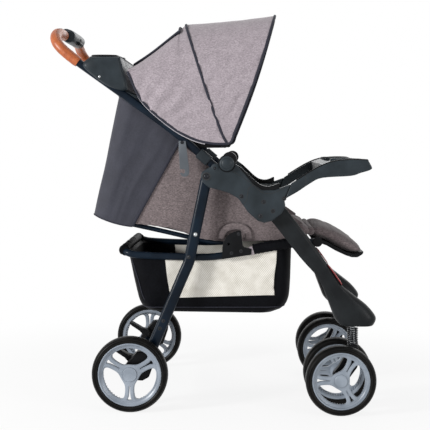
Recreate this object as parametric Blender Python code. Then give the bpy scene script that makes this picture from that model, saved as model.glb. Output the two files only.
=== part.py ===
"""Folding pram with a reclining seat, twin front casters and a parent console.

Metres, +X forwards, +Z up, the pram's left at +Y. The floor is Z = 0, and the
middle of the pram's length and width is the origin. Places are (x, z) in the
side view, and distances from the middle plane are positive on both sides.
"""
import math

import bpy
import bmesh
from mathutils import Vector

# Clearances
FIT = 0.0003
PIN_FIT = 0.0004
RUNNING = 0.0005

# Seat rail, which sets the width of all that is built on it
RAIL_R = 0.009
RAIL_Y = 0.198
RAIL_REAR_X = -0.228
RAIL_REAR_Z = 0.398
CROSSBAR = (0.228, 0.4245)
CROSSBAR_R = 0.008
CALF_PIVOT = (0.2635, 0.426)
BASKET_WALL = 0.002
BASKET_FLOOR_Z = 0.239
BASKET_HALF = RAIL_Y - 0.0025

# Push bar
BAR_R = 0.010
BAR_Y = RAIL_Y + 0.027
BAR_SIDES = 12
FOLD_PIVOT = (0.0057, 0.6114)
BAR_ANGLE = math.radians(140)
GRIP_R = 0.0135
HANDLE_X = -0.397
HANDLE_Z = 0.946
HOUSING_SPAN = 0.085
SLEEVE_START = 0.022
SLEEVE_LENGTH = 0.033
SLEEVE_HALF_Y = 0.0122
SLEEVE_HALF_UP = 0.014
PIN_R = 0.0035

# Rear legs, and the blocks that join them to the axle
LEG_PIVOT = (-0.0157, 0.5895)
LEG_BEND = (-0.0585, 0.375)
LEG_FOOT = (-0.1726, 0.098)
LEG_HALF_WIDE = 0.014
LEG_HALF_THICK = 0.009
BLOCK_Y = (BAR_Y - 0.0185, BAR_Y + 0.0185)
PEDAL_WIDTH = 0.030
PEDAL_Y = (BLOCK_Y[0] - RUNNING - PEDAL_WIDTH, BLOCK_Y[0] - RUNNING)

# Wheels
REAR_WHEEL_R = 0.095
FRONT_WHEEL_R = 0.0875
WHEEL_WIDTH = 0.034
TYRE_DEPTH = 0.0155
RIM_DEPTH = 0.0135
SPOKE_WIDTH = 0.0075
SPOKE_SLOT = 0.007
HUB_R = 0.019
AXLE_R = 0.005
AXLE_SLEEVE_R = 0.008
AXLE_SHOULDER = 0.0045
HALF_TRACK = BLOCK_Y[1] + AXLE_SHOULDER + WHEEL_WIDTH / 2
REAR_AXLE_X = -0.201
FRONT_AXLE_X = 0.323
WHEEL_STEPS = 24

# Front legs, moulded
FRONT_LEG_Y = BAR_Y - 0.0015
FRONT_LEG_HALF = 0.0125

# Casters and their springs
CASTER_X = 0.3555
CASTER_Y = FRONT_LEG_Y - 0.0145
CASTER_SPREAD = HALF_TRACK - CASTER_Y
STEM_R = 0.006
STEM_LOW = 0.135
STEM_HIGH = 0.283
COLLAR_R = 0.0145
COLLAR_THICK = 0.0024
HOOD_Z = 0.2185
HOUSING_HALF = 0.013
SPRING_SEAT_Z = 0.1692
SPRING_R = 0.011
SPRING_WIRE_R = 0.0011
SPRING_CURLS = 8
SPRING_CURL_POINTS = 9
SUSPENSION_TRAVEL = 0.015

# Armrest housings, which hold both pivots and the front legs
CHEEK_IN = BAR_Y - 0.0205
CHEEK_OUT = BAR_Y - 0.0165
SHELL_IN = BAR_Y + 0.0125
SHELL_OUT = SHELL_IN + 0.0265
KNOB_R = 0.0185

# Seat
RECLINE_PIVOT = (0.040, 0.418)
BRACKET_IN = RAIL_Y + RAIL_R + RUNNING
BRACKET_THICK = 0.004
BACK_TUBE_R = 0.006
BACK_HALF = RAIL_Y - 0.028
PAD_HALF = BACK_HALF + 0.007
SEAT_HALF = RAIL_Y - 0.018
CALF_HALF = RAIL_Y - 0.038
KNOB_SEAT_GAP = 0.001

# Canopy
CANOPY_PIVOT = (0.028, 0.668)
CANOPY_IN = BAR_Y + BAR_R + 0.0008
CLOTH = 0.0022
CANOPY_POWER = 4.5
MID_BOW_ANGLE = math.radians(109.0)
MID_BOW_REACH = 0.318
FRONT_BOW_ANGLE = math.radians(69.7)
FRONT_BOW_REACH = 0.347
BOW_THICK = 0.0036
BOW_WIDE = 0.009
BOW_SLACK = 0.0031
MID_BOW_OUT = CANOPY_IN - 0.005
FRONT_BOW_OUT = CANOPY_IN - 0.0005
CLIP_IN = BAR_Y - 0.016
CLIP_OUT = CLIP_IN + 0.0035

SIDES = (("right", -1), ("left", 1))

FINISHES = {
    "navy_paint": ((0.022, 0.032, 0.050), 0.35, 0.4),
    "slate_plastic": ((0.045, 0.052, 0.058), 0.5, 0.0),
    "black_plastic": ((0.012, 0.012, 0.014), 0.5, 0.0),
    "rim_plastic": ((0.20, 0.23, 0.28), 0.45, 0.0),
    "tyre_foam": ((0.010, 0.010, 0.011), 0.75, 0.0),
    "tan_leather": ((0.45, 0.13, 0.04), 0.45, 0.0),
    "taupe_cloth": ((0.26, 0.20, 0.21), 0.9, 0.0),
    "navy_cloth": ((0.045, 0.048, 0.068), 0.9, 0.0),
    "black_cloth": ((0.010, 0.010, 0.013), 0.85, 0.0),
    "bright_steel": ((0.55, 0.55, 0.56), 0.25, 1.0),
    "black_steel": ((0.015, 0.015, 0.016), 0.4, 0.6),
    "red_lens": ((0.50, 0.01, 0.01), 0.2, 0.0),
    "grey_plastic": ((0.10, 0.11, 0.12), 0.5, 0.0),
}


# Building blocks

def clear_scene():
    for old in list(bpy.data.objects):
        bpy.data.objects.remove(old, do_unlink=True)


def finish_material(finish):
    found = bpy.data.materials.get(finish)
    if found:
        return found
    colour, roughness, metallic = FINISHES[finish]
    made = bpy.data.materials.new(finish)
    made.use_nodes = True
    shader = made.node_tree.nodes["Principled BSDF"]
    shader.inputs["Base Color"].default_value = (*colour, 1.0)
    shader.inputs["Roughness"].default_value = roughness
    shader.inputs["Metallic"].default_value = metallic
    return made


def place(name, points, faces, finish, pivot=(0.0, 0.0, 0.0)):
    """A named solid from world points, with its origin at the pivot."""
    origin = Vector(pivot)
    mesh = bpy.data.meshes.new(name)
    mesh.from_pydata([Vector(p) - origin for p in points], [], faces)
    shell = bmesh.new()
    shell.from_mesh(mesh)
    bmesh.ops.recalc_face_normals(shell, faces=shell.faces)
    shell.to_mesh(mesh)
    shell.free()
    mesh.shade_smooth()
    mesh.set_sharp_from_angle(angle=math.radians(35))
    mesh.materials.append(finish_material(finish))
    made = bpy.data.objects.new(name, mesh)
    made.location = origin
    bpy.context.collection.objects.link(made)
    return made


def combine(target, tool, operation):
    tool.hide_render = True
    tool.display_type = "WIRE"
    step = target.modifiers.new(tool.name, "BOOLEAN")
    step.operation = operation
    step.object = tool
    step.solver = "EXACT"


def cut(target, tool):
    combine(target, tool, "DIFFERENCE")


def fuse(target, tool):
    combine(target, tool, "UNION")


def soften(target, width, segments=2):
    edges = target.modifiers.new("edges", "BEVEL")
    edges.width = width
    edges.segments = segments
    edges.limit_method = "ANGLE"
    edges.angle_limit = math.radians(40)


def joint_at(place_xz, y=0.0):
    return (place_xz[0], y, place_xz[1])


def stacked(rings, closed_ends=True):
    """Faces between rings of equal count, with a cap on each end."""
    count = len(rings[0])
    points = [point for ring in rings for point in ring]
    faces = []
    for level in range(len(rings) - 1):
        for step in range(count):
            following = (step + 1) % count
            low = level * count
            high = low + count
            faces.append((low + step, low + following, high + following, high + step))
    if closed_ends:
        faces.append(tuple(reversed(range(count))))
        last = (len(rings) - 1) * count
        faces.append(tuple(last + step for step in range(count)))
    return points, faces


def prism(name, outline, y_from, y_to, finish, pivot=(0.0, 0.0, 0.0)):
    """A side-view outline, extruded across the pram."""
    rings = [[(x, y, z) for x, z in outline] for y in (y_from, y_to)]
    points, faces = stacked(rings)
    return place(name, points, faces, finish, pivot)


def circle(centre, radius, steps):
    return [
        (centre[0] + radius * math.cos(math.tau * step / steps),
         centre[1] + radius * math.sin(math.tau * step / steps))
        for step in range(steps)
    ]


def rod(name, centre, radius, y_from, y_to, finish, steps=16, pivot=(0.0, 0.0, 0.0)):
    return prism(name, circle(centre, radius, steps), y_from, y_to, finish, pivot)


def post(name, x, y, radius, z_from, z_to, finish, steps=16, pivot=(0.0, 0.0, 0.0)):
    rings = [[(x + dx, y + dy, z) for dx, dy in circle((0, 0), radius, steps)]
             for z in (z_from, z_to)]
    points, faces = stacked(rings)
    return place(name, points, faces, finish, pivot)


def block(name, low, high, finish, pivot=(0.0, 0.0, 0.0)):
    outline = [(low[0], low[2]), (high[0], low[2]), (high[0], high[2]), (low[0], high[2])]
    return prism(name, outline, low[1], high[1], finish, pivot)


def turned(name, profile, centre, y_sign, finish, steps):
    """A closed (radius, offset) profile, turned about an axle along Y."""
    points = []
    rings = []
    for radius, offset in profile:
        y = y_sign * offset
        if radius == 0:
            rings.append([len(points)])
            points.append((centre[0], y, centre[1]))
            continue
        first = len(points)
        rings.append(list(range(first, first + steps)))
        for step in range(steps):
            angle = math.tau * (step + 0.5) / steps - math.pi / 2
            points.append((centre[0] + radius * math.cos(angle), y,
                           centre[1] + radius * math.sin(angle)))
    faces = []
    for here, there in zip(rings, rings[1:] + rings[:1]):
        if len(here) == 1 and len(there) == 1:
            continue
        for step in range(steps):
            following = (step + 1) % steps
            quad = (here[step % len(here)], here[following % len(here)],
                    there[following % len(there)], there[step % len(there)])
            faces.append(tuple(dict.fromkeys(quad)))
    return place(name, points, faces, finish, joint_at(centre))


def frames_along(path, side):
    """The side and the up direction at each point, without twist."""
    path = [Vector(point) for point in path]
    side = Vector(side)
    frames = []
    for index, point in enumerate(path):
        before = path[max(index - 1, 0)]
        after = path[min(index + 1, len(path) - 1)]
        along = (after - before).normalized()
        side = (side - along * side.dot(along)).normalized()
        frames.append((point, side.copy(), along.cross(side)))
    return frames


def ring_at(frame, half_side, half_up, sides, power=2.0):
    point, side, up = frame
    ring = []
    for step in range(sides):
        angle = math.tau * step / sides
        across = math.copysign(abs(math.cos(angle)) ** (2 / power), math.cos(angle))
        rise = math.copysign(abs(math.sin(angle)) ** (2 / power), math.sin(angle))
        ring.append(point + side * half_side * across + up * half_up * rise)
    return ring


def tube(name, frames, half_side, half_up, sides, finish, pivot=(0.0, 0.0, 0.0), power=2.0):
    rings = [ring_at(frame, half_side, half_up, sides, power) for frame in frames]
    points, faces = stacked(rings)
    return place(name, points, faces, finish, pivot)


def sleeve(name, frames, half_side, half_up, bore, finish, pivot=(0.0, 0.0, 0.0)):
    """A tube with a bore that fits the push bar, along part of its path."""
    outer = [ring_at(frame, half_side, half_up, BAR_SIDES) for frame in frames]
    inner = [ring_at(frame, bore, bore, BAR_SIDES) for frame in reversed(frames)]
    points, faces = stacked([*outer, *inner], closed_ends=False)
    last = len(points) - BAR_SIDES
    for step in range(BAR_SIDES):
        following = (step + 1) % BAR_SIDES
        faces.append((last + step, last + following, following, step))
    return place(name, points, faces, finish, pivot)


def sheet(name, grid, finish, pivot=(0.0, 0.0, 0.0)):
    """A closed wall from a grid of (outer, inner) point pairs."""
    rows = len(grid)
    columns = len(grid[0])
    points = [pair[0] for row in grid for pair in row] + [pair[1] for row in grid for pair in row]
    inner = rows * columns
    faces = []
    for row in range(rows - 1):
        for column in range(columns - 1):
            a = row * columns + column
            quad = (a, a + 1, a + columns + 1, a + columns)
            faces.append(quad)
            faces.append(tuple(inner + index for index in reversed(quad)))
    top = list(range(columns))
    right = [row * columns + columns - 1 for row in range(1, rows)]
    bottom = [(rows - 1) * columns + column for column in reversed(range(columns - 1))]
    left = [row * columns for row in reversed(range(1, rows - 1))]
    border = top + right + bottom + left
    for here, there in zip(border, border[1:] + border[:1]):
        faces.append((there, here, inner + here, inner + there))
    return place(name, points, faces, finish, pivot)


def interpolate(table, x):
    if x <= table[0][0]:
        return table[0][1]
    for (x0, v0), (x1, v1) in zip(table, table[1:]):
        if x <= x1:
            return v0 + (v1 - v0) * (x - x0) / (x1 - x0)
    return table[-1][1]


def between(start, end, share):
    return tuple(a + (b - a) * share for a, b in zip(start, end))


# Wheels

def wheel(name, radius, centre_x, centre_y, side_out):
    """A foam tyre on a rim of three double spokes, with a closed outer face."""
    centre = (centre_x, radius)
    half = WHEEL_WIDTH / 2
    inside = centre_y * side_out - half
    outside = centre_y * side_out + half
    bead = radius - TYRE_DEPTH
    tread = radius / math.cos(math.pi / WHEEL_STEPS)
    turned(f"{name}_tyre", [
        (bead, inside + 0.004), (tread - 0.006, inside), (tread, inside + 0.008),
        (tread, outside - 0.008), (tread - 0.006, outside), (bead, outside - 0.004),
    ], centre, side_out, "tyre_foam", WHEEL_STEPS)
    seat = bead - FIT
    well = seat - RIM_DEPTH
    rim = turned(f"{name}_rim", [
        (seat, inside + 0.005), (seat, outside - 0.004), (well, outside - 0.007),
        (well, inside + 0.009),
    ], centre, side_out, "rim_plastic", WHEEL_STEPS)
    near = half - 0.001
    reach = well + 0.002
    for turn in range(3):
        angle = math.tau * turn / 3 + (math.pi if centre_x > 0 else -math.pi / 2)
        along = (math.cos(angle), math.sin(angle))
        for lane in (-1, 1):
            middle = lane * (SPOKE_SLOT + SPOKE_WIDTH) / 2
            corners = []
            for distance, offset in ((HUB_R * 0.6, -1), (reach, -1), (reach, 1), (HUB_R * 0.6, 1)):
                across = middle + offset * SPOKE_WIDTH / 2
                corners.append((centre[0] + along[0] * distance - along[1] * across,
                                centre[1] + along[1] * distance + along[0] * across))
            fuse(rim, prism(f"{name}_spoke_{turn}_{lane}", corners,
                            side_out * (outside - 0.022), side_out * (outside - 0.008),
                            "rim_plastic"))
    fuse(rim, turned(f"{name}_hub", [
        (0, inside + 0.0005), (HUB_R * 0.72, inside + 0.0005), (HUB_R, outside - 0.018),
        (HUB_R, outside - 0.003), (0, outside - 0.003),
    ], centre, side_out, "rim_plastic", 14))
    cut(rim, rod(f"{name}_bore", centre, AXLE_R + PIN_FIT, side_out * (inside - near),
                 side_out * (outside - 0.007), "rim_plastic", 10))


def axle_end(centre_y, side_out, direction=1):
    """How far an axle reaches into a wheel's blind bore."""
    return centre_y * side_out + direction * (WHEEL_WIDTH / 2 - 0.0075)


def rear_wheels():
    for label, side in SIDES:
        wheel(f"rear_wheel_{label}", REAR_WHEEL_R, REAR_AXLE_X, side * HALF_TRACK, side)


def front_wheels():
    for label, side in SIDES:
        outer = side * (CASTER_Y + CASTER_SPREAD)
        inner = side * (CASTER_Y - CASTER_SPREAD)
        wheel(f"front_outer_{label}", FRONT_WHEEL_R, FRONT_AXLE_X, outer, side)
        wheel(f"front_inner_{label}", FRONT_WHEEL_R, FRONT_AXLE_X, inner, -side)


# Casters

def caster_stem(label, side):
    y = side * CASTER_Y
    pivot = (CASTER_X, y, 0.0)
    stem = post(f"caster_stem_{label}", CASTER_X, y, STEM_R, STEM_LOW, STEM_HIGH,
                "bright_steel", 16, pivot)
    high = HOOD_Z - FIT
    fuse(stem, post(f"caster_collar_{label}", CASTER_X, y, COLLAR_R, high - COLLAR_THICK, high,
                    "black_plastic", 20, pivot))


def caster_housing(label, side):
    y = side * CASTER_Y
    half_collar = COLLAR_R - 0.0015
    outline = [
        (CASTER_X - half_collar, SPRING_SEAT_Z), (CASTER_X + half_collar, SPRING_SEAT_Z),
        (CASTER_X + 0.0155, 0.150), (CASTER_X + 0.0135, 0.112), (0.350, 0.085), (0.337, 0.073),
        (0.320, 0.070), (0.308, 0.079), (0.307, 0.094), (0.322, 0.113), (0.337, 0.140),
    ]
    centre = (FRONT_AXLE_X, FRONT_WHEEL_R)
    housing = prism(f"caster_housing_{label}", outline, y - HOUSING_HALF, y + HOUSING_HALF,
                    "black_plastic", (CASTER_X, y, SPRING_SEAT_Z))
    soften(housing, 0.003, 1)
    cut(housing, post(f"caster_bore_{label}", CASTER_X, y, STEM_R + PIN_FIT,
                      STEM_LOW - SUSPENSION_TRAVEL - 0.002, SPRING_SEAT_Z + 0.01,
                      "black_plastic", 16))
    hub_face = CASTER_SPREAD - WHEEL_WIDTH / 2 - RUNNING
    fuse(housing, rod(f"caster_sleeve_{label}", centre, AXLE_SLEEVE_R, y - hub_face, y + hub_face,
                      "black_plastic", 14))
    tip = axle_end(CASTER_SPREAD, 1)
    fuse(housing, rod(f"caster_axle_{label}", centre, AXLE_R, y - tip, y + tip, "bright_steel", 14))


def caster_spring(label, side):
    """One unbroken wire, with a straight end square to each seat."""
    low = SPRING_SEAT_Z + FIT
    high = HOOD_Z - FIT - COLLAR_THICK - FIT
    wire = 2 * SPRING_WIRE_R
    climb = high - low - 2 * wire
    steps = SPRING_CURLS * SPRING_CURL_POINTS
    route = [Vector((SPRING_R, 0, low))]
    for step in range(steps + 1):
        angle = math.tau * step / SPRING_CURL_POINTS
        route.append(Vector((SPRING_R * math.cos(angle), SPRING_R * math.sin(angle),
                             low + wire + climb * step / steps)))
    route.append(Vector((SPRING_R, 0, high)))
    apart = min(
        (route[a] - route[b]).length
        for a in range(1, steps + 2) for b in range(a + SPRING_CURL_POINTS - 2, steps + 2)
    )
    print(f"caster_spring_{label}: least gap between curls {1000 * (apart - wire):.2f} mm")
    data = bpy.data.curves.new(f"caster_spring_{label}", "CURVE")
    data.dimensions = "3D"
    data.bevel_depth = SPRING_WIRE_R
    data.bevel_resolution = 1
    data.use_fill_caps = True
    line = data.splines.new("POLY")
    line.points.add(len(route) - 1)
    for target, point in zip(line.points, route):
        target.co = (*point, 1.0)
    data.materials.append(finish_material("black_steel"))
    made = bpy.data.objects.new(f"caster_spring_{label}", data)
    made.location = (CASTER_X, side * CASTER_Y, 0.0)
    bpy.context.collection.objects.link(made)


# Front legs, moulded, each with a hood over its caster

def front_leg_rings(side, spare=0.0):
    sections = [
        ((0.1345, 0.5221), (0.1575, 0.5399), FRONT_LEG_Y, FRONT_LEG_HALF),
        ((0.1724, 0.4750), (0.1956, 0.4930), FRONT_LEG_Y, FRONT_LEG_HALF),
        ((0.2289, 0.3940), (0.2561, 0.4150), FRONT_LEG_Y, FRONT_LEG_HALF),
        ((0.2780, 0.3130), (0.3250, 0.3200), FRONT_LEG_Y - 0.0040, 0.0150),
        ((0.2900, 0.2820), (0.3540, 0.2960), CASTER_Y + 0.0050, 0.0210),
        ((0.3020, 0.2515), (0.3870, 0.2730), CASTER_Y + 0.0015, 0.0280),
        ((0.3100, 0.2330), (0.4055, 0.2450), CASTER_Y, 0.0320),
        ((0.3220, HOOD_Z), (0.4000, HOOD_Z), CASTER_Y, 0.0310),
    ]
    rings = []
    for rear, front, y, half in sections:
        middle = Vector(((rear[0] + front[0]) / 2, side * y, (rear[1] + front[1]) / 2))
        lengthwise = Vector(((front[0] - rear[0]) / 2, 0, (front[1] - rear[1]) / 2))
        half_long = lengthwise.length + spare
        frame = (middle, lengthwise.normalized(), Vector((0, 1, 0)))
        rings.append(ring_at(frame, half_long, half + spare, 14, 3.0))
    return rings


def front_leg(label, side):
    points, faces = stacked(front_leg_rings(side))
    leg = place(f"front_leg_{label}", points, faces, "slate_plastic")
    boss_z = interpolate(RAIL_LINE, 0.236)
    fuse(leg, rod(f"rail_boss_{label}", (0.236, boss_z), 0.007,
                  side * (RAIL_Y + RAIL_R + FIT), side * FRONT_LEG_Y, "slate_plastic"))
    cut(leg, post(f"stem_socket_{label}", CASTER_X, side * CASTER_Y, STEM_R + PIN_FIT,
                  HOOD_Z - 0.01, STEM_HIGH + 0.001, "slate_plastic", 16))


def reflector(label, side):
    """A red lens that lies along the front edge of the leg."""
    top = Vector((0.2880, 0.3711))
    bottom = Vector((0.3250, 0.3200))
    along = (bottom - top).normalized()
    out = Vector((-along.y, along.x)) * -1
    out = out if out.x > 0 else -out
    outline = []
    for distance, lift in ((0, 0.0005), (0.063, 0.0005), (0.060, 0.0045), (0.003, 0.0045)):
        corner = top + along * distance + out * lift
        outline.append((corner.x, corner.y))
    half = 0.006
    y = side * (FRONT_LEG_Y - 0.0020)
    prism(f"reflector_{label}", outline, y - half, y + half, "red_lens")


# Armrest housings

HUB_OUTLINE = [
    (-0.030, 0.590), (-0.027, 0.600), (-0.012, 0.610), (0.015, 0.6235), (0.036, 0.626),
    (0.056, 0.622), (0.078, 0.597), (0.098, 0.574), (0.1215, 0.5575), (0.152, 0.5575),
    (0.193, 0.5725), (0.1765, 0.536), (0.180, 0.517), (0.170, 0.4995), (0.148, 0.482),
    (0.128, 0.4765), (0.112, 0.481), (0.088, 0.502), (0.064, 0.535), (0.040, 0.549),
    (0.016, 0.556), (-0.010, 0.562), (-0.024, 0.574),
]
CHEEK_OUTLINE = [
    (-0.027, 0.590), (-0.012, 0.607), (0.015, 0.620), (0.028, 0.612), (0.060, 0.590),
    (0.098, 0.570), (0.1215, 0.554), (0.152, 0.554), (0.176, 0.536), (0.176, 0.517),
    (0.166, 0.502), (0.146, 0.486), (0.128, 0.480), (0.112, 0.485), (0.090, 0.504),
    (0.064, 0.537), (0.016, 0.559), (-0.018, 0.572),
]
CORE_OUTLINE = [
    (0.100, 0.5665), (0.1215, 0.5535), (0.152, 0.5535), (0.176, 0.556), (0.1745, 0.536),
    (0.176, 0.517), (0.166, 0.5015), (0.146, 0.4855), (0.128, 0.4800), (0.112, 0.4845),
    (0.100, 0.497),
]
TONGUE_ALONG = Vector((0.825, 0.565)).normalized()
TONGUE_ROOT = Vector((0.1865, 0.5555))
TONGUE_LENGTH = 0.018
TONGUE_HALF = 0.008
TONGUE_Y = (SHELL_IN + 0.0065, SHELL_OUT - 0.006)


def tongue_outline(back, forward, spare=0.0):
    across = Vector((-TONGUE_ALONG.y, TONGUE_ALONG.x))
    corners = []
    for distance, lane in ((-back, -1), (forward, -1), (forward, 1), (-back, 1)):
        corner = TONGUE_ROOT + TONGUE_ALONG * distance + across * lane * (TONGUE_HALF + spare)
        corners.append((corner.x, corner.y))
    return corners


def armrest(label, side):
    rest = prism(f"armrest_{label}", HUB_OUTLINE, side * SHELL_IN, side * SHELL_OUT,
                 "slate_plastic")
    soften(rest, 0.0035, 2)
    cheek = prism(f"hub_cheek_{label}", CHEEK_OUTLINE, side * CHEEK_IN, side * CHEEK_OUT,
                  "slate_plastic")
    core = prism(f"hub_core_{label}", CORE_OUTLINE, side * (CHEEK_OUT - 0.002),
                 side * (SHELL_IN + 0.002), "slate_plastic")
    barrel = rod(f"adapter_barrel_{label}", (0.041, 0.632), 0.018, side * (SHELL_IN + 0.0004),
                 side * (SHELL_OUT - 0.002), "slate_plastic", 18)
    knob = turned(f"adapter_knob_{label}", [
        (0, SHELL_OUT - 0.006), (KNOB_R, SHELL_OUT - 0.006), (KNOB_R, SHELL_OUT + 0.011),
        (KNOB_R - 0.004, SHELL_OUT + 0.0145), (KNOB_R - 0.010, SHELL_OUT + 0.016),
        (0, SHELL_OUT + 0.0165),
    ], (0.0345, 0.6215), side, "slate_plastic", 20)
    fuse(rest, core)
    fuse(rest, cheek)
    fuse(rest, barrel)
    fuse(rest, knob)
    for title, pivot in (("bar", FOLD_PIVOT), ("leg", LEG_PIVOT)):
        fuse(rest, rod(f"{title}_pin_{label}", pivot, PIN_R, side * (CHEEK_IN + 0.001),
                       side * (SHELL_IN + 0.002), "slate_plastic", 14))
    points, faces = stacked(front_leg_rings(side, FIT))
    cut(rest, place(f"leg_socket_{label}", points, faces, "slate_plastic"))
    low, high = (side * (TONGUE_Y[0] - FIT), side * (TONGUE_Y[1] + FIT))
    cut(rest, prism(f"tray_socket_{label}", tongue_outline(TONGUE_LENGTH + FIT, 0.03, FIT),
                    low, high, "slate_plastic"))


# Seat rail, basket and seat brackets

RAIL_LINE = [
    (-0.228, 0.398), (-0.214, 0.3915), (-0.194, 0.3865), (-0.130, 0.3838), (-0.0585, 0.383),
    (0.0035, 0.3845), (0.086, 0.3985), (0.140, 0.4090), (0.189, 0.4180), (0.228, 0.4235),
    (0.2635, 0.4260),
]


def seat_rail():
    near = RAIL_REAR_X + 0.030
    knots = [(0.2705, -RAIL_Y, RAIL_LINE[-1][1])]
    for x, z in reversed(RAIL_LINE[2:]):
        knots.append((x, -RAIL_Y, z))
    knots += [
        (near - 0.014, -RAIL_Y + 0.002, 0.3900), (near - 0.023, -RAIL_Y + 0.009, 0.3935),
        (near - 0.028, -RAIL_Y + 0.020, 0.3965), (RAIL_REAR_X, -RAIL_Y + 0.034, RAIL_REAR_Z),
    ]
    knots += [(x, -y, z) for x, y, z in reversed(knots)]
    rail = tube("seat_rail", frames_along(knots, (0, 1, 0)), RAIL_R, RAIL_R, 12, "navy_paint")
    fuse(rail, rod("rail_crossbar", CROSSBAR, CROSSBAR_R, -RAIL_Y, RAIL_Y, "navy_paint", 14))
    for label, side in SIDES:
        stop = (-0.0585, interpolate(RAIL_LINE, -0.0585))
        fuse(rail, rod(f"rail_spacer_{label}", stop, 0.007, side * (RAIL_Y + 0.004),
                       side * (BAR_Y - LEG_HALF_THICK - RUNNING), "navy_paint", 14))
        cut(rail, rod(f"calf_hole_{label}", CALF_PIVOT, PIN_R + PIN_FIT, side * (RAIL_Y - 0.02),
                      side * (RAIL_Y + 0.02), "navy_paint", 14))


def basket():
    """An open fabric tub that hangs on the seat rail."""
    levels = (0.0, 0.10, 0.35, 1.0)
    front_x = [(0.0, 0.152), (0.10, 0.180), (0.35, 0.196), (1.0, 0.200)]
    rear_x = [(0.0, -0.164), (0.10, -0.180), (0.35, -0.192), (1.0, -0.221)]
    half_y = [(0.0, 0.172), (0.10, 0.183), (0.35, 0.189), (1.0, BASKET_HALF)]
    corner = 0.040
    straight = (rear_x[-1][1] + corner, front_x[-1][1] - corner)
    sides = [(x - straight[0]) / (straight[1] - straight[0]) for x, _ in RAIL_LINE
             if straight[0] < x < straight[1]]

    def ring(level, wall):
        front = interpolate(front_x, level) - wall
        rear = interpolate(rear_x, level) + wall
        half = interpolate(half_y, level) - wall
        plan = []
        for step in range(4):
            angle = math.pi / 2 * step / 3
            plan.append((front - corner * (1 - math.cos(angle)),
                         half - corner * (1 - math.sin(angle))))
        for share in reversed(sides):
            plan.append((rear + corner + (front - rear - 2 * corner) * share, half))
        for step in range(4):
            angle = math.pi / 2 * (1 + step / 3)
            plan.append((rear + corner * (1 + math.cos(angle)),
                         half - corner * (1 - math.sin(angle))))
        plan += [(x, -y) for x, y in reversed(plan)]
        floor = BASKET_FLOOR_Z + (wall if level == 0 else 0)
        loop = []
        for x, y in plan:
            rim = interpolate(RAIL_LINE, x) - RAIL_R - RUNNING
            loop.append((x, y, floor + (rim - floor) * level))
        return loop

    outside = [ring(level, 0.0) for level in levels]
    inside = [ring(level, BASKET_WALL) for level in reversed(levels)]
    points, faces = stacked([*outside, *inside])
    place("basket", points, faces, "black_cloth")


def seat_bracket(label, side):
    """The quarter plate on the rail that carries the backrest's pivot."""
    outline = [(0.026, 0.3795), (0.0262, 0.4300)]
    for step in range(5):
        angle = math.radians(170 - 27 * step)
        outline.append((0.058 + 0.0315 * math.cos(angle), 0.4225 + 0.0315 * math.sin(angle)))
    outline += [(0.079, 0.426), (0.098, 0.405), (0.098, 0.3920)]
    plate = prism(f"seat_bracket_{label}", outline, side * BRACKET_IN,
                  side * (BRACKET_IN + BRACKET_THICK), "black_plastic")
    soften(plate, 0.0008, 1)
    cut(plate, rod(f"recline_hole_{label}", RECLINE_PIVOT, PIN_R + PIN_FIT,
                   side * (BRACKET_IN - 0.01), side * (BRACKET_IN + 0.02), "black_plastic", 14))


# Rear legs, axle and brakes

def rear_leg_frames(side, reach=0.0):
    pivot = Vector(joint_at(LEG_PIVOT, side * BAR_Y))
    bend = Vector(joint_at(LEG_BEND, side * BAR_Y))
    foot = Vector(joint_at(LEG_FOOT, side * BAR_Y))
    top = pivot + (pivot - bend).normalized() * 0.008
    foot += (foot - bend).normalized() * reach
    knots = [top, between(pivot, bend, 0.45), between(pivot, bend, 0.85), bend,
             between(bend, foot, 0.15), between(bend, foot, 0.6), foot]
    return frames_along(knots, (0, 1, 0))


def rear_leg(label, side):
    leg = tube(f"rear_leg_{label}", rear_leg_frames(side), LEG_HALF_THICK, LEG_HALF_WIDE, 12,
               "navy_paint", joint_at(LEG_PIVOT, side * BAR_Y), 2.4)
    cut(leg, rod(f"leg_hole_{label}", LEG_PIVOT, PIN_R + PIN_FIT, side * (BAR_Y - 0.02),
                 side * (BAR_Y + 0.02), "navy_paint", 14))


AXLE_BLOCK = [
    (-0.221, 0.086), (-0.222, 0.104), (-0.208, 0.122), (-0.186, 0.147), (-0.141, 0.150),
    (-0.144, 0.118), (-0.156, 0.082), (-0.172, 0.073), (-0.207, 0.074),
]


def rear_axle():
    """The cross tube, the two leg sockets and the wheel spindles, as one part."""
    centre = (REAR_AXLE_X, REAR_WHEEL_R)
    span = BLOCK_Y[0] + 0.002
    axle = rod("rear_axle", centre, 0.008, -span, span, "navy_paint", 16, joint_at(centre))
    hub_face = HALF_TRACK - WHEEL_WIDTH / 2 - RUNNING
    for label, side in SIDES:
        body = prism(f"axle_block_{label}", AXLE_BLOCK, side * BLOCK_Y[0], side * BLOCK_Y[1],
                     "black_plastic")
        soften(body, 0.002, 1)
        fuse(axle, body)
        fuse(axle, rod(f"axle_shoulder_{label}", centre, AXLE_SLEEVE_R, side * (BLOCK_Y[1] - 0.004),
                       side * hub_face, "black_plastic", 14))
        fuse(axle, rod(f"axle_spindle_{label}", centre, AXLE_R, side * (BLOCK_Y[1] - 0.003),
                       side * axle_end(HALF_TRACK, 1), "bright_steel", 14))
        socket = tube(f"axle_socket_{label}", rear_leg_frames(side, FIT), LEG_HALF_THICK + FIT,
                      LEG_HALF_WIDE + FIT, 12, "black_plastic", power=2.4)
        cut(axle, socket)
        cut(axle, rod(f"brake_hole_{label}", BRAKE_PIVOT, PIN_R + PIN_FIT,
                      side * (BLOCK_Y[0] - 0.01), side * (BLOCK_Y[0] + 0.009), "black_plastic", 14))


BRAKE_PIVOT = (-0.2015, 0.1195)


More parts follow.
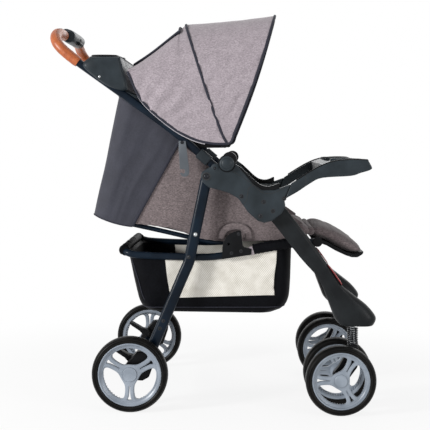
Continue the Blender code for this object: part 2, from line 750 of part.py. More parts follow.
def brake_pedal(label, side):
    """A foot pedal on the inner face of the axle block."""
    outline = [
        (-0.194, 0.113), (-0.1925, 0.122), (-0.199, 0.128), (-0.214, 0.131), (-0.240, 0.146),
        (-0.250, 0.150), (-0.253, 0.145), (-0.243, 0.137), (-0.222, 0.1235), (-0.212, 0.112),
        (-0.201, 0.1095),
    ]
    pedal = prism(f"brake_pedal_{label}", outline, side * PEDAL_Y[0], side * PEDAL_Y[1],
                  "black_plastic", joint_at(BRAKE_PIVOT, side * BLOCK_Y[0]))
    soften(pedal, 0.0012, 1)
    fuse(pedal, rod(f"brake_pin_{label}", BRAKE_PIVOT, PIN_R, side * (PEDAL_Y[1] - 0.004),
                    side * (BLOCK_Y[0] + 0.008), "bright_steel", 14))


# Push bar and what it carries

def bar_knots():
    along = (math.cos(BAR_ANGLE), math.sin(BAR_ANGLE))
    knots = []
    for distance in (-0.008, 0.045, 0.095, 0.138):
        knots.append((FOLD_PIVOT[0] + along[0] * distance, -BAR_Y,
                      FOLD_PIVOT[1] + along[1] * distance))
    knots += [
        (-0.170, -BAR_Y, 0.7508), (-0.240, -BAR_Y, 0.7990), (-0.338, -BAR_Y, 0.8675),
        (-0.362, -BAR_Y, 0.8860), (-0.3790, -BAR_Y + 0.001, 0.9005),
        (-0.3900, -BAR_Y + 0.006, 0.9125), (-0.3970, -BAR_Y + 0.016, 0.9240),
        (-0.4000, -BAR_Y + 0.030, 0.9340), (-0.4000, -BAR_Y + 0.048, 0.9412),
        (-0.3985, -BAR_Y + 0.068, 0.9448), (HANDLE_X, -BAR_Y + 0.092, HANDLE_Z),
        (HANDLE_X, -HOUSING_SPAN - 0.005, HANDLE_Z),
    ]
    return knots + [(x, -y, z) for x, y, z in reversed(knots)]


def bar_frames():
    return frames_along(bar_knots(), (0, 1, 0))


def both_ends(frames, first, last):
    """The same stretch of the bar on the right and on the left."""
    mirrored = frames[len(frames) - 1 - last:len(frames) - first]
    return (("right", -1, frames[first:last + 1]), ("left", 1, mirrored))


def push_bar(frames):
    pivot = joint_at(FOLD_PIVOT)
    bar = tube("push_bar", frames, BAR_R, BAR_R, BAR_SIDES, "navy_paint", pivot)
    cut(bar, rod("bar_pin_hole", FOLD_PIVOT, PIN_R + PIN_FIT, -CANOPY_IN, CANOPY_IN, "navy_paint",
                 14))


def grips(frames):
    first = 6
    last = 15
    for label, _, stretch in both_ends(frames, first, last):
        sleeve(f"grip_{label}", stretch, GRIP_R, GRIP_R, BAR_R + FIT, "tan_leather",
               joint_at(FOLD_PIVOT))


def latch_sleeves():
    along = Vector((math.cos(BAR_ANGLE), 0, math.sin(BAR_ANGLE)))
    for label, side in SIDES:
        pivot = Vector(joint_at(FOLD_PIVOT, side * BAR_Y))
        start = pivot + along * SLEEVE_START
        end = start + along * SLEEVE_LENGTH
        frames = frames_along([start, between(start, end, 0.5), end], (0, 1, 0))
        sleeve(f"latch_sleeve_{label}", frames, SLEEVE_HALF_Y, SLEEVE_HALF_UP, BAR_R + FIT,
               "slate_plastic", tuple(start))


TRIGGER_ALONG = Vector((0.894, -0.447)).normalized()
TRIGGER_TRAVEL = 0.008
TRIGGER_LENGTH = 0.012
TRIGGER_START = 0.0215
TRIGGER_HALF_THICK = 0.0045
TRIGGER_SPAN = 0.030
BUTTON_SPAN = 0.007
BUTTON_TRAVEL = 0.006


def lane_box(start, end, half, lift=0.0):
    """A side-view box along the trigger's line from the handle's centre."""
    centre = Vector((HANDLE_X, HANDLE_Z))
    across = Vector((-TRIGGER_ALONG.y, TRIGGER_ALONG.x))
    corners = []
    for distance, lane in ((start, -1), (end, -1), (end, 1), (start, 1)):
        corner = centre + TRIGGER_ALONG * distance + across * (lift + lane * half)
        corners.append((corner.x, corner.y))
    return corners


def release_housing():
    """The moulded grip at the middle of the handle, with its trigger slot."""
    centre = Vector((-0.3895, 0.9475))
    across = Vector((-TRIGGER_ALONG.y, TRIGGER_ALONG.x))
    rings = []
    for y, share in ((-HOUSING_SPAN, 0.62), (-0.070, 0.84), (-0.045, 0.97), (0.0, 1.0),
                     (0.045, 0.97), (0.070, 0.84), (HOUSING_SPAN, 0.62)):
        long_half = 0.0145 + 0.0100 * share
        short_half = 0.0145 + 0.0050 * share
        frame = (Vector((centre.x, y, centre.y)),
                 Vector((TRIGGER_ALONG.x, 0, TRIGGER_ALONG.y)),
                 Vector((across.x, 0, across.y)))
        rings.append(ring_at(frame, long_half, short_half, 16, 2.5))
    points, faces = stacked(rings)
    body = place("release_housing", points, faces, "slate_plastic", joint_at(FOLD_PIVOT))
    cut(body, rod("handle_bore", (HANDLE_X, HANDLE_Z), BAR_R + 2 * FIT, -0.1, 0.1,
                  "slate_plastic", 18))
    slot_start = TRIGGER_START - TRIGGER_TRAVEL - RUNNING
    cut(body, prism("trigger_slot", lane_box(slot_start, 0.05, TRIGGER_HALF_THICK + RUNNING),
                    -TRIGGER_SPAN - RUNNING, TRIGGER_SPAN + RUNNING, "slate_plastic"))
    travel = BUTTON_TRAVEL + RUNNING
    cut(body, prism("button_slot", lane_box(0.0195, 0.05, 0.0035 + RUNNING, 0.0105),
                    -BUTTON_SPAN - RUNNING, BUTTON_SPAN + travel, "slate_plastic"))


def release_controls():
    outline = lane_box(TRIGGER_START, TRIGGER_START + TRIGGER_LENGTH, TRIGGER_HALF_THICK)
    trigger = prism("release_trigger", outline, -TRIGGER_SPAN, TRIGGER_SPAN, "black_plastic",
                    (HANDLE_X, 0, HANDLE_Z))
    soften(trigger, 0.0012, 1)
    button = prism("lock_button", lane_box(0.0200, 0.0285, 0.0035, 0.0105), -BUTTON_SPAN,
                   BUTTON_SPAN, "black_plastic", (HANDLE_X, 0, HANDLE_Z))
    soften(button, 0.0008, 1)


CONSOLE_OUTLINE = [
    (-0.3285, 0.8600), (-0.3110, 0.8800), (-0.2995, 0.8835), (-0.2380, 0.8835),
    (-0.2325, 0.8780), (-0.2230, 0.8430), (-0.2160, 0.8190), (-0.2140, 0.8040),
    (-0.2190, 0.7985), (-0.2335, 0.7975), (-0.2640, 0.8085), (-0.2990, 0.8320),
]
CONSOLE_HALF = BAR_Y + 0.018
CUP_X = -0.2690
CUP_Y = 0.125
CUP_R = 0.032
CUP_FLOOR_Z = 0.845


def parent_console(frames):
    console = prism("parent_console", CONSOLE_OUTLINE, -CONSOLE_HALF, CONSOLE_HALF,
                    "slate_plastic", joint_at(FOLD_PIVOT))
    soften(console, 0.003, 1)
    under = [(-0.3300, 0.8420), (-0.2990, 0.8400), (-0.2400, 0.8400), (-0.2250, 0.8250),
             (-0.2200, 0.7900), (-0.3300, 0.7900)]
    cut(console, prism("console_underside", under, 0.025 - BAR_Y, BAR_Y - 0.025, "slate_plastic"))
    for label, side in SIDES:
        cut(console, post(f"console_cup_{label}", CUP_X, side * CUP_Y, CUP_R, CUP_FLOOR_Z, 0.9,
                          "slate_plastic", 24))
    cut(console, block("console_pocket", (-0.300, -0.060, CUP_FLOOR_Z),
                       (-0.242, 0.060, 0.90), "slate_plastic"))
    for label, _, stretch in both_ends(frames, 3, 7):
        cut(console, tube(f"bar_channel_{label}", stretch, BAR_R + FIT, BAR_R + FIT, BAR_SIDES,
                          "slate_plastic"))


HOOK_PIVOT = (-0.0775, 0.6735)
HOOK_Y = (BAR_Y + BAR_R + 0.0007, BAR_Y + BAR_R + 0.0047)


def storage_hook():
    """The strap-shaped catch that hangs on the bar's right side."""
    outline = [(-0.0860, 0.6760), (-0.0690, 0.6760), (-0.0640, 0.6400), (-0.0605, 0.6155)]
    centre = (-0.0705, 0.5985)
    for step in range(7):
        angle = math.radians(-5 - 28 * step)
        outline.append((centre[0] + 0.0115 * math.cos(angle), centre[1] + 0.0115 * math.sin(angle)))
    outline += [(-0.0765, 0.5965), (-0.0735, 0.5945), (-0.0700, 0.5980), (-0.0700, 0.6040),
                (-0.0735, 0.6065), (-0.0825, 0.6055), (-0.0840, 0.6250), (-0.0860, 0.6500)]
    prism("storage_hook", outline, -HOOK_Y[0], -HOOK_Y[1], "grey_plastic",
          joint_at(HOOK_PIVOT, -HOOK_Y[0]))


# Canopy

CLIP_REACH = 0.085
EYE_R = 0.0085
CANOPY_PIN_R = 0.003


def canopy_clip(label, side):
    """The plate on the bar that carries the pivot of both bows."""
    along = Vector((math.cos(BAR_ANGLE), math.sin(BAR_ANGLE)))
    foot = Vector(FOLD_PIVOT) + along * CLIP_REACH
    head = Vector(CANOPY_PIVOT)
    line = (head - foot).normalized()
    across = Vector((-line.y, line.x))
    half = 0.008
    outline = []
    for centre, start in ((head, 90), (foot, 270)):
        for step in range(7):
            angle = math.radians(start - 30 * step)
            corner = centre + line * half * math.cos(angle) + across * half * math.sin(angle)
            outline.append((corner.x, corner.y))
    clip = prism(f"canopy_clip_{label}", outline, side * CLIP_IN, side * CLIP_OUT,
                 "black_plastic", joint_at(FOLD_PIVOT))
    fuse(clip, rod(f"clip_seat_{label}", (foot.x, foot.y), 0.0065, side * (CLIP_OUT - 0.001),
                   side * (BAR_Y - BAR_R - FIT), "black_plastic", 14))
    fuse(clip, rod(f"canopy_pin_{label}", CANOPY_PIVOT, CANOPY_PIN_R, side * (CLIP_OUT - 0.001),
                   side * (FRONT_BOW_OUT - 0.0005), "black_plastic", 12))
    fuse(clip, rod(f"canopy_spacer_{label}", CANOPY_PIVOT, 0.007, side * (CLIP_OUT - 0.001),
                   side * (MID_BOW_OUT - BOW_THICK - RUNNING), "black_plastic", 14))


def bow(name, angle, reach, outer):
    """A flat bow, bent over the seat, with an eye at each end."""
    ahead = Vector((math.cos(angle), 0, math.sin(angle)))
    half = outer - BOW_THICK / 2
    route = []
    turns = 20
    for step in range(turns + 1):
        phase = math.pi * (0.02 + 0.96 * step / turns)
        across = math.copysign(abs(math.cos(phase)) ** (2 / CANOPY_POWER), -math.cos(phase))
        rise = math.sin(phase) ** (2 / CANOPY_POWER)
        route.append(Vector(joint_at(CANOPY_PIVOT)) + Vector((0, half * across, 0))
                     + ahead * reach * rise)
    foot = Vector(joint_at(CANOPY_PIVOT)) + ahead * 0.004
    route = [foot + Vector((0, -half, 0)), *route[1:-1], foot + Vector((0, half, 0))]
    normal = ahead.cross(Vector((0, 1, 0)))
    rings = []
    for point, side, up in frames_along(route, (0, 1, 0)):
        outwards = normal.cross(up if abs(side.dot(normal)) > 0.9 else side)
        along = (side.cross(up)).normalized()
        outwards = along.cross(normal).normalized()
        rings.append([point + outwards * a * BOW_THICK / 2 + normal * b * BOW_WIDE / 2
                      for a, b in ((-1, -1), (1, -1), (1, 1), (-1, 1))])
    points, faces = stacked(rings)
    made = place(name, points, faces, "black_plastic", joint_at(CANOPY_PIVOT))
    for label, side in SIDES:
        fuse(made, rod(f"{name}_eye_{label}", CANOPY_PIVOT, EYE_R, side * outer,
                       side * (outer - BOW_THICK), "black_plastic", 16))
    cut(made, rod(f"{name}_hole", CANOPY_PIVOT, CANOPY_PIN_R + PIN_FIT, -CANOPY_IN, CANOPY_IN,
                  "black_plastic", 14))


def over_bow(angle, reach):
    """Where the outside of the cloth passes over a bow, in the side view."""
    out = reach + BOW_THICK / 2 + CLOTH + BOW_SLACK
    return Vector(CANOPY_PIVOT) + out * Vector((math.cos(angle), math.sin(angle)))


def beside(start, end, share, rise):
    """A point that share of the way between two others, and so far above their line."""
    line = end - start
    return start + line * share + Vector((-line.y, line.x)).normalized() * rise


def canopy():
    """The stretched cloth, from the console over both bows to the front edge."""
    edges = [(-0.2135, 0.8430), (-0.1780, 0.7735), (-0.1090, 0.7130), (-0.0540, 0.6825),
             (-0.0040, 0.6700), (0.0400, 0.6695), (0.0475, 0.6760), (0.0510, 0.6840),
             (0.0540, 0.6940)]
    sewn_on = Vector((-0.2130, 0.8560))
    over_mid = over_bow(MID_BOW_ANGLE, MID_BOW_REACH)
    over_front = over_bow(FRONT_BOW_ANGLE, FRONT_BOW_REACH)
    tops = [sewn_on]
    tops += [beside(sewn_on, over_mid, *place_on) for place_on in
             ((0.4141, -0.0006), (0.8468, -0.0001), (0.9003, 0.0002), (0.9537, 0.0005))]
    tops.append(over_mid)
    tops += [beside(over_mid, over_front, *place_on) for place_on in
             ((0.4294, 0.0053), (0.6950, 0.0043))]
    tops.append(over_front)
    columns = 20
    grid = []
    for edge, top in zip(edges, tops):
        lower = Vector((edge[0], 0, edge[1]))
        upper = Vector((top[0], 0, top[1]))
        row = []
        for step in range(columns + 1):
            phase = math.pi * step / columns
            across = math.copysign(abs(math.cos(phase)) ** (2 / CANOPY_POWER), -math.cos(phase))
            rise = math.sin(phase) ** (2 / CANOPY_POWER)
            outer = lower + (upper - lower) * rise + Vector((0, (CANOPY_IN + CLOTH) * across, 0))
            inner_top = upper - (upper - lower).normalized() * CLOTH
            inner = lower + (inner_top - lower) * rise + Vector((0, CANOPY_IN * across, 0))
            row.append((outer, inner))
        grid.append(row)
    sheet("canopy", grid, "taupe_cloth")


# Seat, backrest, calf rest and their cloth

PAD_SIDES = 18
PAD_MIDDLE = 0.42


def pad_section(step):
    """A point of the cushion's rounded section, from -1 to 1 both ways."""
    angle = math.tau * step / PAD_SIDES
    return (math.copysign(abs(math.cos(angle)) ** 0.5, math.cos(angle)),
            math.copysign(abs(math.sin(angle)) ** 0.5, math.sin(angle)))


def pad_rise(half, y):
    """How much of its full height a cushion has at y, from 0 to 1."""
    quarter = sorted(pad_section(step) for step in range(PAD_SIDES // 4 + 1))
    return interpolate([(0.0, quarter[0][1]), *quarter], abs(y) / half)


def pad_top(spine, half, x, y):
    low = interpolate([(p[0], p[1]) for p in spine], x)
    high = interpolate([(p[0], p[2]) for p in spine], x)
    middle = low + PAD_MIDDLE * (high - low)
    return middle + (high - middle) * pad_rise(half, y)


def pad(name, spine, half, channels, finish, pivot=(0.0, 0.0, 0.0)):
    """A crowned cushion: (x, underside, crown) along it, with sewn channels."""
    rings = []
    stations = []
    for (x0, low0, high0), (x1, low1, high1) in zip(spine, spine[1:]):
        for step in range(2):
            t = step / 2
            stations.append((x0 + (x1 - x0) * t, low0 + (low1 - low0) * t,
                             high0 + (high1 - high0) * t))
    stations.append(spine[-1])
    last = len(stations) - 1
    for index, (x, low, high) in enumerate(stations):
        drawn_in = 0.012 if index in (0, last) else 0.0
        dip = 0.004 if index in channels else 0.0
        middle = low + PAD_MIDDLE * (high - low)
        ring = []
        for step in range(PAD_SIDES):
            across, rise = pad_section(step)
            height = (high - dip - middle) if rise > 0 else (middle - low)
            ring.append((x, (half - drawn_in) * across, middle + height * rise))
        rings.append(ring)
    points, faces = stacked(rings)
    return place(name, points, faces, finish, pivot)


SEAT_SPINE = [
    (0.056, 0.4260, 0.4450), (0.066, 0.4228, 0.4600), (0.100, 0.4240, 0.4700),
    (0.150, 0.4275, 0.4770), (0.200, 0.4305, 0.4810), (0.232, 0.4330, 0.4790),
    (0.2455, 0.4390, 0.4640),
]
CALF_SPINE = [
    (0.2505, 0.4365, 0.4680), (0.262, 0.4320, 0.4770), (0.290, 0.4240, 0.4670),
    (0.314, 0.4110, 0.4560), (0.340, 0.3975, 0.4400), (0.360, 0.3925, 0.4240),
    (0.376, 0.3970, 0.4070),
]
BACK_LINE = [(-0.280, 0.4780), (-0.199, 0.4600), (-0.136, 0.4470), (-0.039, 0.4260),
             (0.003, 0.4185), (0.040, 0.4180)]


def seat_pad():
    pad("seat_pad", SEAT_SPINE, SEAT_HALF, (5, 8), "taupe_cloth")


def backrest():
    pivot = joint_at(RECLINE_PIVOT)
    knots = [(x, -BACK_HALF, z) for x, z in reversed(BACK_LINE[1:])]
    head = BACK_LINE[0]
    for ahead, inwards in ((0.022, 0.0015), (0.009, 0.008), (0.0015, 0.021), (0.0, 0.040)):
        x = head[0] + ahead
        knots.append((x, -BACK_HALF + inwards, interpolate(BACK_LINE, x)))
    knots += [(x, -y, z) for x, y, z in reversed(knots)]
    frame = tube("backrest_frame", frames_along(knots, (0, 1, 0)), BACK_TUBE_R, BACK_TUBE_R, 10,
                 "navy_paint", pivot)
    for label, side in SIDES:
        fuse(frame, rod(f"recline_pin_{label}", RECLINE_PIVOT, PIN_R, side * BACK_HALF,
                        side * (BRACKET_IN + BRACKET_THICK), "bright_steel", 14))
    spine = []
    for x, rise, thick in ((-0.264, 0.004, 0.016), (-0.250, 0.0, 0.030), (-0.200, 0.0, 0.036),
                           (-0.136, 0.0, 0.036), (-0.070, 0.0, 0.036), (-0.015, 0.0, 0.034),
                           (0.008, 0.002, 0.026), (0.020, 0.006, 0.012)):
        sag = PAD_MIDDLE * thick * (1 - pad_rise(PAD_HALF, BACK_HALF))
        low = interpolate(BACK_LINE, x) + BACK_TUBE_R + RUNNING - sag + rise
        spine.append((x, low, low + thick))
    pad("backrest_pad", spine, PAD_HALF, (4, 8), "taupe_cloth", pivot)


def calf_rest():
    pivot = joint_at(CALF_PIVOT)
    thick = 0.005
    upper = [(x, low - 0.0006) for x, low, _ in CALF_SPINE[:-1]]
    outline = upper + [(x, z - thick) for x, z in reversed(upper)]
    board = prism("calf_board", outline, -CALF_HALF, CALF_HALF, "black_plastic", pivot)
    for label, side in SIDES:
        fuse(board, rod(f"calf_knob_{label}", CALF_PIVOT, 0.0095, side * (CALF_HALF - 0.006),
                        side * (RAIL_Y - RAIL_R - KNOB_SEAT_GAP / 2), "black_plastic", 18))
        fuse(board, rod(f"calf_pin_{label}", CALF_PIVOT, PIN_R, side * (CALF_HALF - 0.004),
                        side * (RAIL_Y + RAIL_R), "bright_steel", 14))
    pad("calf_pad", CALF_SPINE, CALF_HALF, (4, 8), "taupe_cloth", pivot)


def harness():
    """Waist webbing over the seat pad, a buckle on it and the buckle's button."""
    strap_x = (0.100, 0.124)
    half = 0.146
    columns = 14
    thick = 0.0018
    grid = []
    for x in strap_x:
        row = []
        for step in range(columns + 1):
            y = -half + 2 * half * step / columns
            low = pad_top(SEAT_SPINE, SEAT_HALF, strap_x[0], y) + RUNNING
            row.append((Vector((x, y, low + thick)), Vector((x, y, low))))
        grid.append(row)
    sheet("harness_webbing", grid, "black_cloth")
    middle = sum(strap_x) / 2
    top = pad_top(SEAT_SPINE, SEAT_HALF, strap_x[0], 0.0) + RUNNING + thick + FIT
    buckle = block("harness_buckle", (middle - 0.021, -0.019, top),
                   (middle + 0.021, 0.019, top + 0.014), "black_plastic")
    soften(buckle, 0.003, 2)
    centre = (middle, 0.0)
    cut(buckle, post("button_well", *centre, 0.0085, top + 0.006, top + 0.03, "black_plastic", 20))
    button = post("buckle_button", *centre, 0.008, top + 0.0085, top + 0.0150, "red_lens", 20,
                  (middle, 0.0, top + 0.0150))
    soften(button, 0.0006, 1)


PANEL_TOP = [(-0.2095, 0.4700), (-0.0865, 0.6680), (-0.020, 0.6250), (0.040, 0.5820),
             (0.100, 0.5450), (0.150, 0.5150), (0.200, 0.4900), (0.226, 0.4720)]
PANEL_LOW = [(-0.2095, 0.4665), (-0.1075, 0.4560), (-0.0315, 0.4290), (0.010, 0.4235),
             (0.070, 0.4235), (0.189, 0.4290), (0.226, 0.4330)]
PANEL_WIDTH = [(0.40, RAIL_Y - 0.0138), (0.70, RAIL_Y + 0.0096)]


def side_panel(label, side):
    stations = (-0.2095, -0.160, -0.125, -0.0865, -0.053, -0.020, 0.010, 0.040, 0.070, 0.100,
                0.150, 0.200, 0.226)
    grid = []
    for x in stations:
        low = interpolate(PANEL_LOW, x)
        high = interpolate(PANEL_TOP, x)
        row = []
        for step in range(5):
            z = low + (high - low) * step / 4
            y = interpolate(PANEL_WIDTH, z)
            row.append((Vector((x, side * y, z)), Vector((x, side * (y - CLOTH), z))))
        grid.append(row)
    sheet(f"side_panel_{label}", grid, "taupe_cloth")


def hood():
    """The dark cloth that closes the seat behind the head."""
    levels = 5
    corner = 0.040
    rows = []
    for level in range(levels):
        share = level / (levels - 1)
        front = between((-0.2050, 0.4600), (-0.0820, 0.6830), share)
        rear = between((-0.3060, 0.4860), (-0.2410, 0.7870), share)
        half = interpolate(PANEL_WIDTH, front[1]) + RUNNING + CLOTH
        turn = 1 - corner / (front[0] - rear[0])
        quarter = [(turn * step / 3, half, 0.0) for step in range(4)]
        for step in range(1, 4):
            angle = math.pi / 2 * step / 3
            quarter.append((turn + (1 - turn) * math.sin(angle),
                            half - corner * (1 - math.cos(angle)), step / 3))
        quarter += [(1.0, (half - corner) * (1 - step / 3), 1.0) for step in range(1, 4)]
        whole = [(share_x, -y, facing) for share_x, y, facing in quarter]
        whole += [(share_x, y, facing) for share_x, y, facing in reversed(quarter[:-1])]
        row = []
        for share_x, y, facing in whole:
            x, z = between(front, rear, share_x)
            inwards = CLOTH * (1 - facing) * (-1 if y > 0 else 1)
            outer = Vector((x, y, z))
            row.append((outer, outer + Vector((CLOTH * facing, inwards, 0))))
        rows.append(row)
    sheet("hood", rows, "navy_cloth")


# Child tray

TRAY_TOP = [(0.193, 0.5735), (0.221, 0.5915), (0.250, 0.6095), (0.276, 0.6225), (0.302, 0.6305),
            (0.338, 0.6335), (0.372, 0.6320), (0.3900, 0.6250)]
TRAY_LOW = [(0.3935, 0.6160), (0.3830, 0.6070), (0.3620, 0.5990), (0.3380, 0.5930),
            (0.2690, 0.5890), (0.2400, 0.5755), (0.2100, 0.5550), (0.1785, 0.5365)]
TRAY_HALF = SHELL_OUT - 0.002
TRAY_CUP_X = 0.334
TRAY_CUP_Y = 0.165
TRAY_CUP_R = 0.036
TRAY_FLOOR_Z = 0.604


def child_tray():
    outline = [(x + FIT, z) for x, z in TRAY_TOP[:1]] + TRAY_TOP[1:] + TRAY_LOW[:-1]
    outline.append((TRAY_LOW[-1][0] + 2 * FIT, TRAY_LOW[-1][1]))
    tray = prism("child_tray", outline, -TRAY_HALF, TRAY_HALF, "slate_plastic")
    soften(tray, 0.003, 1)
    arms = TRAY_HALF - 0.026
    cut(tray, block("tray_gap", (0.15, -arms, 0.50), (0.272, arms, 0.70), "slate_plastic"))
    for label, side in SIDES:
        cut(tray, post(f"tray_cup_{label}", TRAY_CUP_X, side * TRAY_CUP_Y, TRAY_CUP_R, TRAY_FLOOR_Z,
                       0.70, "slate_plastic", 24))
        fuse(tray, prism(f"tray_tongue_{label}", tongue_outline(TONGUE_LENGTH, 0.012),
                         side * TONGUE_Y[0], side * TONGUE_Y[1], "slate_plastic"))
    cut(tray, block("tray_recess", (0.292, -0.115, TRAY_FLOOR_Z), (0.376, 0.115, 0.70),
                    "slate_plastic"))


def build_pram():
    clear_scene()
    frames = bar_frames()
    for label, side in SIDES:
        armrest(label, side)
        front_leg(label, side)
        reflector(label, side)
        seat_bracket(label, side)
        side_panel(label, side)
        rear_leg(label, side)
        brake_pedal(label, side)
        canopy_clip(label, side)
        caster_stem(label, side)
        caster_housing(label, side)
        caster_spring(label, side)
    seat_rail()
    basket()
    seat_pad()
    backrest()
    calf_rest()
    harness()
    hood()
    child_tray()
    rear_axle()
    rear_wheels()
    front_wheels()
    push_bar(frames)
    grips(frames)
    latch_sleeves()
    release_housing()
    release_controls()
    parent_console(frames)
    storage_hook()
    canopy()
    bow("canopy_mid_bow", MID_BOW_ANGLE, MID_BOW_REACH, MID_BOW_OUT)
    bow("canopy_front_bow", FRONT_BOW_ANGLE, FRONT_BOW_REACH, FRONT_BOW_OUT)


build_pram()
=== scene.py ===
"""The folding pram, dressed: cloth, leather, moulded plastic and coated tube.

Metres, +X forwards, +Z up, the floor at Z = 0. Places are (x, z) in the side
view; distances from the middle plane are positive and used on both sides.
"""
from math import atan2, copysign, cos, exp, pi, radians, sin, sqrt, tau

import bmesh
import bpy
from mathutils import Matrix, Vector, noise


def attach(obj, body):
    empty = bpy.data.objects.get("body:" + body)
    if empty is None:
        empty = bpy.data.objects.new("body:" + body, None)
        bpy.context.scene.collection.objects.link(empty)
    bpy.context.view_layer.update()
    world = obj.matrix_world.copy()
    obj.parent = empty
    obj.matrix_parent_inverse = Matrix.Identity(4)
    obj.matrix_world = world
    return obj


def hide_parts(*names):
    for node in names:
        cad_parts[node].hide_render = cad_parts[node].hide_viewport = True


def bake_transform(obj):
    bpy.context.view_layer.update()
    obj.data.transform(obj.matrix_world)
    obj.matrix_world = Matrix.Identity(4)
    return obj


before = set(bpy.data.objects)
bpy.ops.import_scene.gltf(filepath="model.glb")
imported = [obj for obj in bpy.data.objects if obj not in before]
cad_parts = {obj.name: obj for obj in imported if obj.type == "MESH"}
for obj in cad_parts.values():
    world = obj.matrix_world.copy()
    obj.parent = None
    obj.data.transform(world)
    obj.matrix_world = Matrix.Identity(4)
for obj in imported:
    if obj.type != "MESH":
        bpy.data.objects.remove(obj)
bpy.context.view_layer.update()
SIDES = (("right", -1), ("left", 1))
EVEN = (1, 1, 1)
# Slots of the solids, which name the finishes too
SLATE, BLACK, NAVY, STEEL = "slate_plastic", "black_plastic", "navy_paint", "bright_steel"
TAUPE, OXFORD, COATED = "taupe_cloth", "navy_cloth", "black_cloth"


def mm(*places):
    """Places in millimetres as a list in metres."""
    return [tuple(round(value / 1000, 7) for value in place) for place in places]


# Node trees and materials

def node(tree, kind, inputs=None, stops=None, **settings):
    """One node with its settings, its colour stops and its values or links."""
    made = tree.nodes.new(kind)
    for key, value in settings.items():
        setattr(made, key, value)
    for key, value in (inputs or {}).items():
        if isinstance(value, bpy.types.NodeSocket):
            tree.links.new(value, made.inputs[key])
        else:
            made.inputs[key].default_value = value
    if stops:
        points = made.color_ramp.elements
        while len(points) < len(stops):
            points.new(0.5)
        for point, (where, colour) in zip(points, stops):
            point.position = where
            point.color = linear(colour)
    return made


def linear(code):
    """An sRGB hex value as linear RGBA."""
    parts = [int(code[start:start + 2], 16) / 255 for start in (1, 3, 5)]
    return (*(p / 12.92 if p <= 0.04045 else ((p + 0.055) / 1.055) ** 2.4 for p in parts), 1.0)


def surface(name, **shader):
    """A new material: its tree, its shader and the piece's own coordinates."""
    material = bpy.data.materials.new(name)
    material.use_nodes = True
    tree = material.node_tree
    principled = tree.nodes["Principled BSDF"]
    for key, value in shader.items():
        principled.inputs[key.replace("_", " ")].default_value = value
    return material, tree, principled, node(tree, "ShaderNodeTexCoord").outputs["Object"]


def speckle(tree, place, millimetres, stretch=EVEN, detail=2.0, roughness=0.5):
    """Noise whose grains are that many millimetres across, drawn out by stretch."""
    turned = node(tree, "ShaderNodeMapping", {"Vector": place, "Scale": stretch})
    return node(tree, "ShaderNodeTexNoise", {"Vector": turned.outputs["Vector"],
        "Scale": 1000 / millimetres, "Detail": detail, "Roughness": roughness}).outputs["Fac"]


def maths(tree, operation, *values):
    return node(tree, "ShaderNodeMath", dict(enumerate(values)), operation=operation).outputs[0]


def blended(tree, weights):
    """The weighted sum of several patterns."""
    total = 0.0
    for pattern, weight in weights:
        total = maths(tree, "MULTIPLY_ADD", pattern, weight, total)
    return total


def colour_from(tree, principled, pattern, stops):
    ramp = node(tree, "ShaderNodeValToRGB", {"Fac": pattern}, stops)
    tree.links.new(ramp.outputs["Color"], principled.inputs["Base Color"])


def relief(tree, principled, pattern, millimetres):
    bump = node(tree, "ShaderNodeBump", {"Height": pattern, "Distance": millimetres / 1000})
    tree.links.new(bump.outputs["Normal"], principled.inputs["Normal"])


def rubbed(tree, principled, pattern, low, high):
    """Roughness that wanders between two values, as handling leaves it."""
    made = node(tree, "ShaderNodeMapRange", {"Value": pattern, "From Min": 0.3, "From Max": 0.7,
        "To Min": low, "To Max": high})
    tree.links.new(made.outputs["Result"], principled.inputs["Roughness"])


def moulded(name, dark, light, roughness, grain=1.1, depth=0.05, **shader):
    """Injection-moulded plastic: spark-eroded grain, edges rubbed a shade lighter."""
    material, tree, principled, place = surface(name, **shader)
    cloud = speckle(tree, place, 45, detail=3)
    grains = speckle(tree, place, grain, detail=3)
    edge = node(tree, "ShaderNodeNewGeometry").outputs["Pointiness"]
    colour_from(tree, principled, blended(tree, ((cloud, 0.5), (edge, 0.5))),
        ((0.42, dark), (0.6, light)))
    rubbed(tree, principled, cloud, roughness - 0.05, roughness + 0.06)
    relief(tree, principled, grains, depth)
    return material


def speckled(name, grains, colour, stops, raised, depth, rough=None, **shader):
    """A finish of noise patterns, each with a weight in the colour and in the relief."""
    material, tree, principled, place = surface(name, **shader)
    patterns = [speckle(tree, place, *grain) for grain in grains]
    colour_from(tree, principled, blended(tree, zip(patterns, colour)), stops)
    relief(tree, principled, blended(tree, zip(patterns, raised)), depth)
    if rough:
        rubbed(tree, principled, patterns[-1], *rough)
    return material


def melange(name, threads, slub=0.3):
    """Two-tone woven polyester: fine cross threads with slubs and a slow mottle.

    The real thread is about 0.4 mm; it is drawn near 1.2 mm so that it shows."""
    weights = (0.34, 0.36 - slub * 0.2, slub, 0.16)
    stops = [(at * sum(weights), colour) for at, colour in zip((0.4, 0.5, 0.6), threads)]
    return speckled(name, [(1.2, (1, 1, 0.3), 2), (1.3, (0.25, 0.6, 1), 2),
        (2.6, (0.45, 0.6, 1), 3, 0.6), (24, (0.8, 1, 1), 5, 0.7)], weights, stops,
        (0.5, 0.5, 0, 0.6), 0.3, Roughness=0.9, Sheen_Weight=0.18, Sheen_Roughness=0.6)


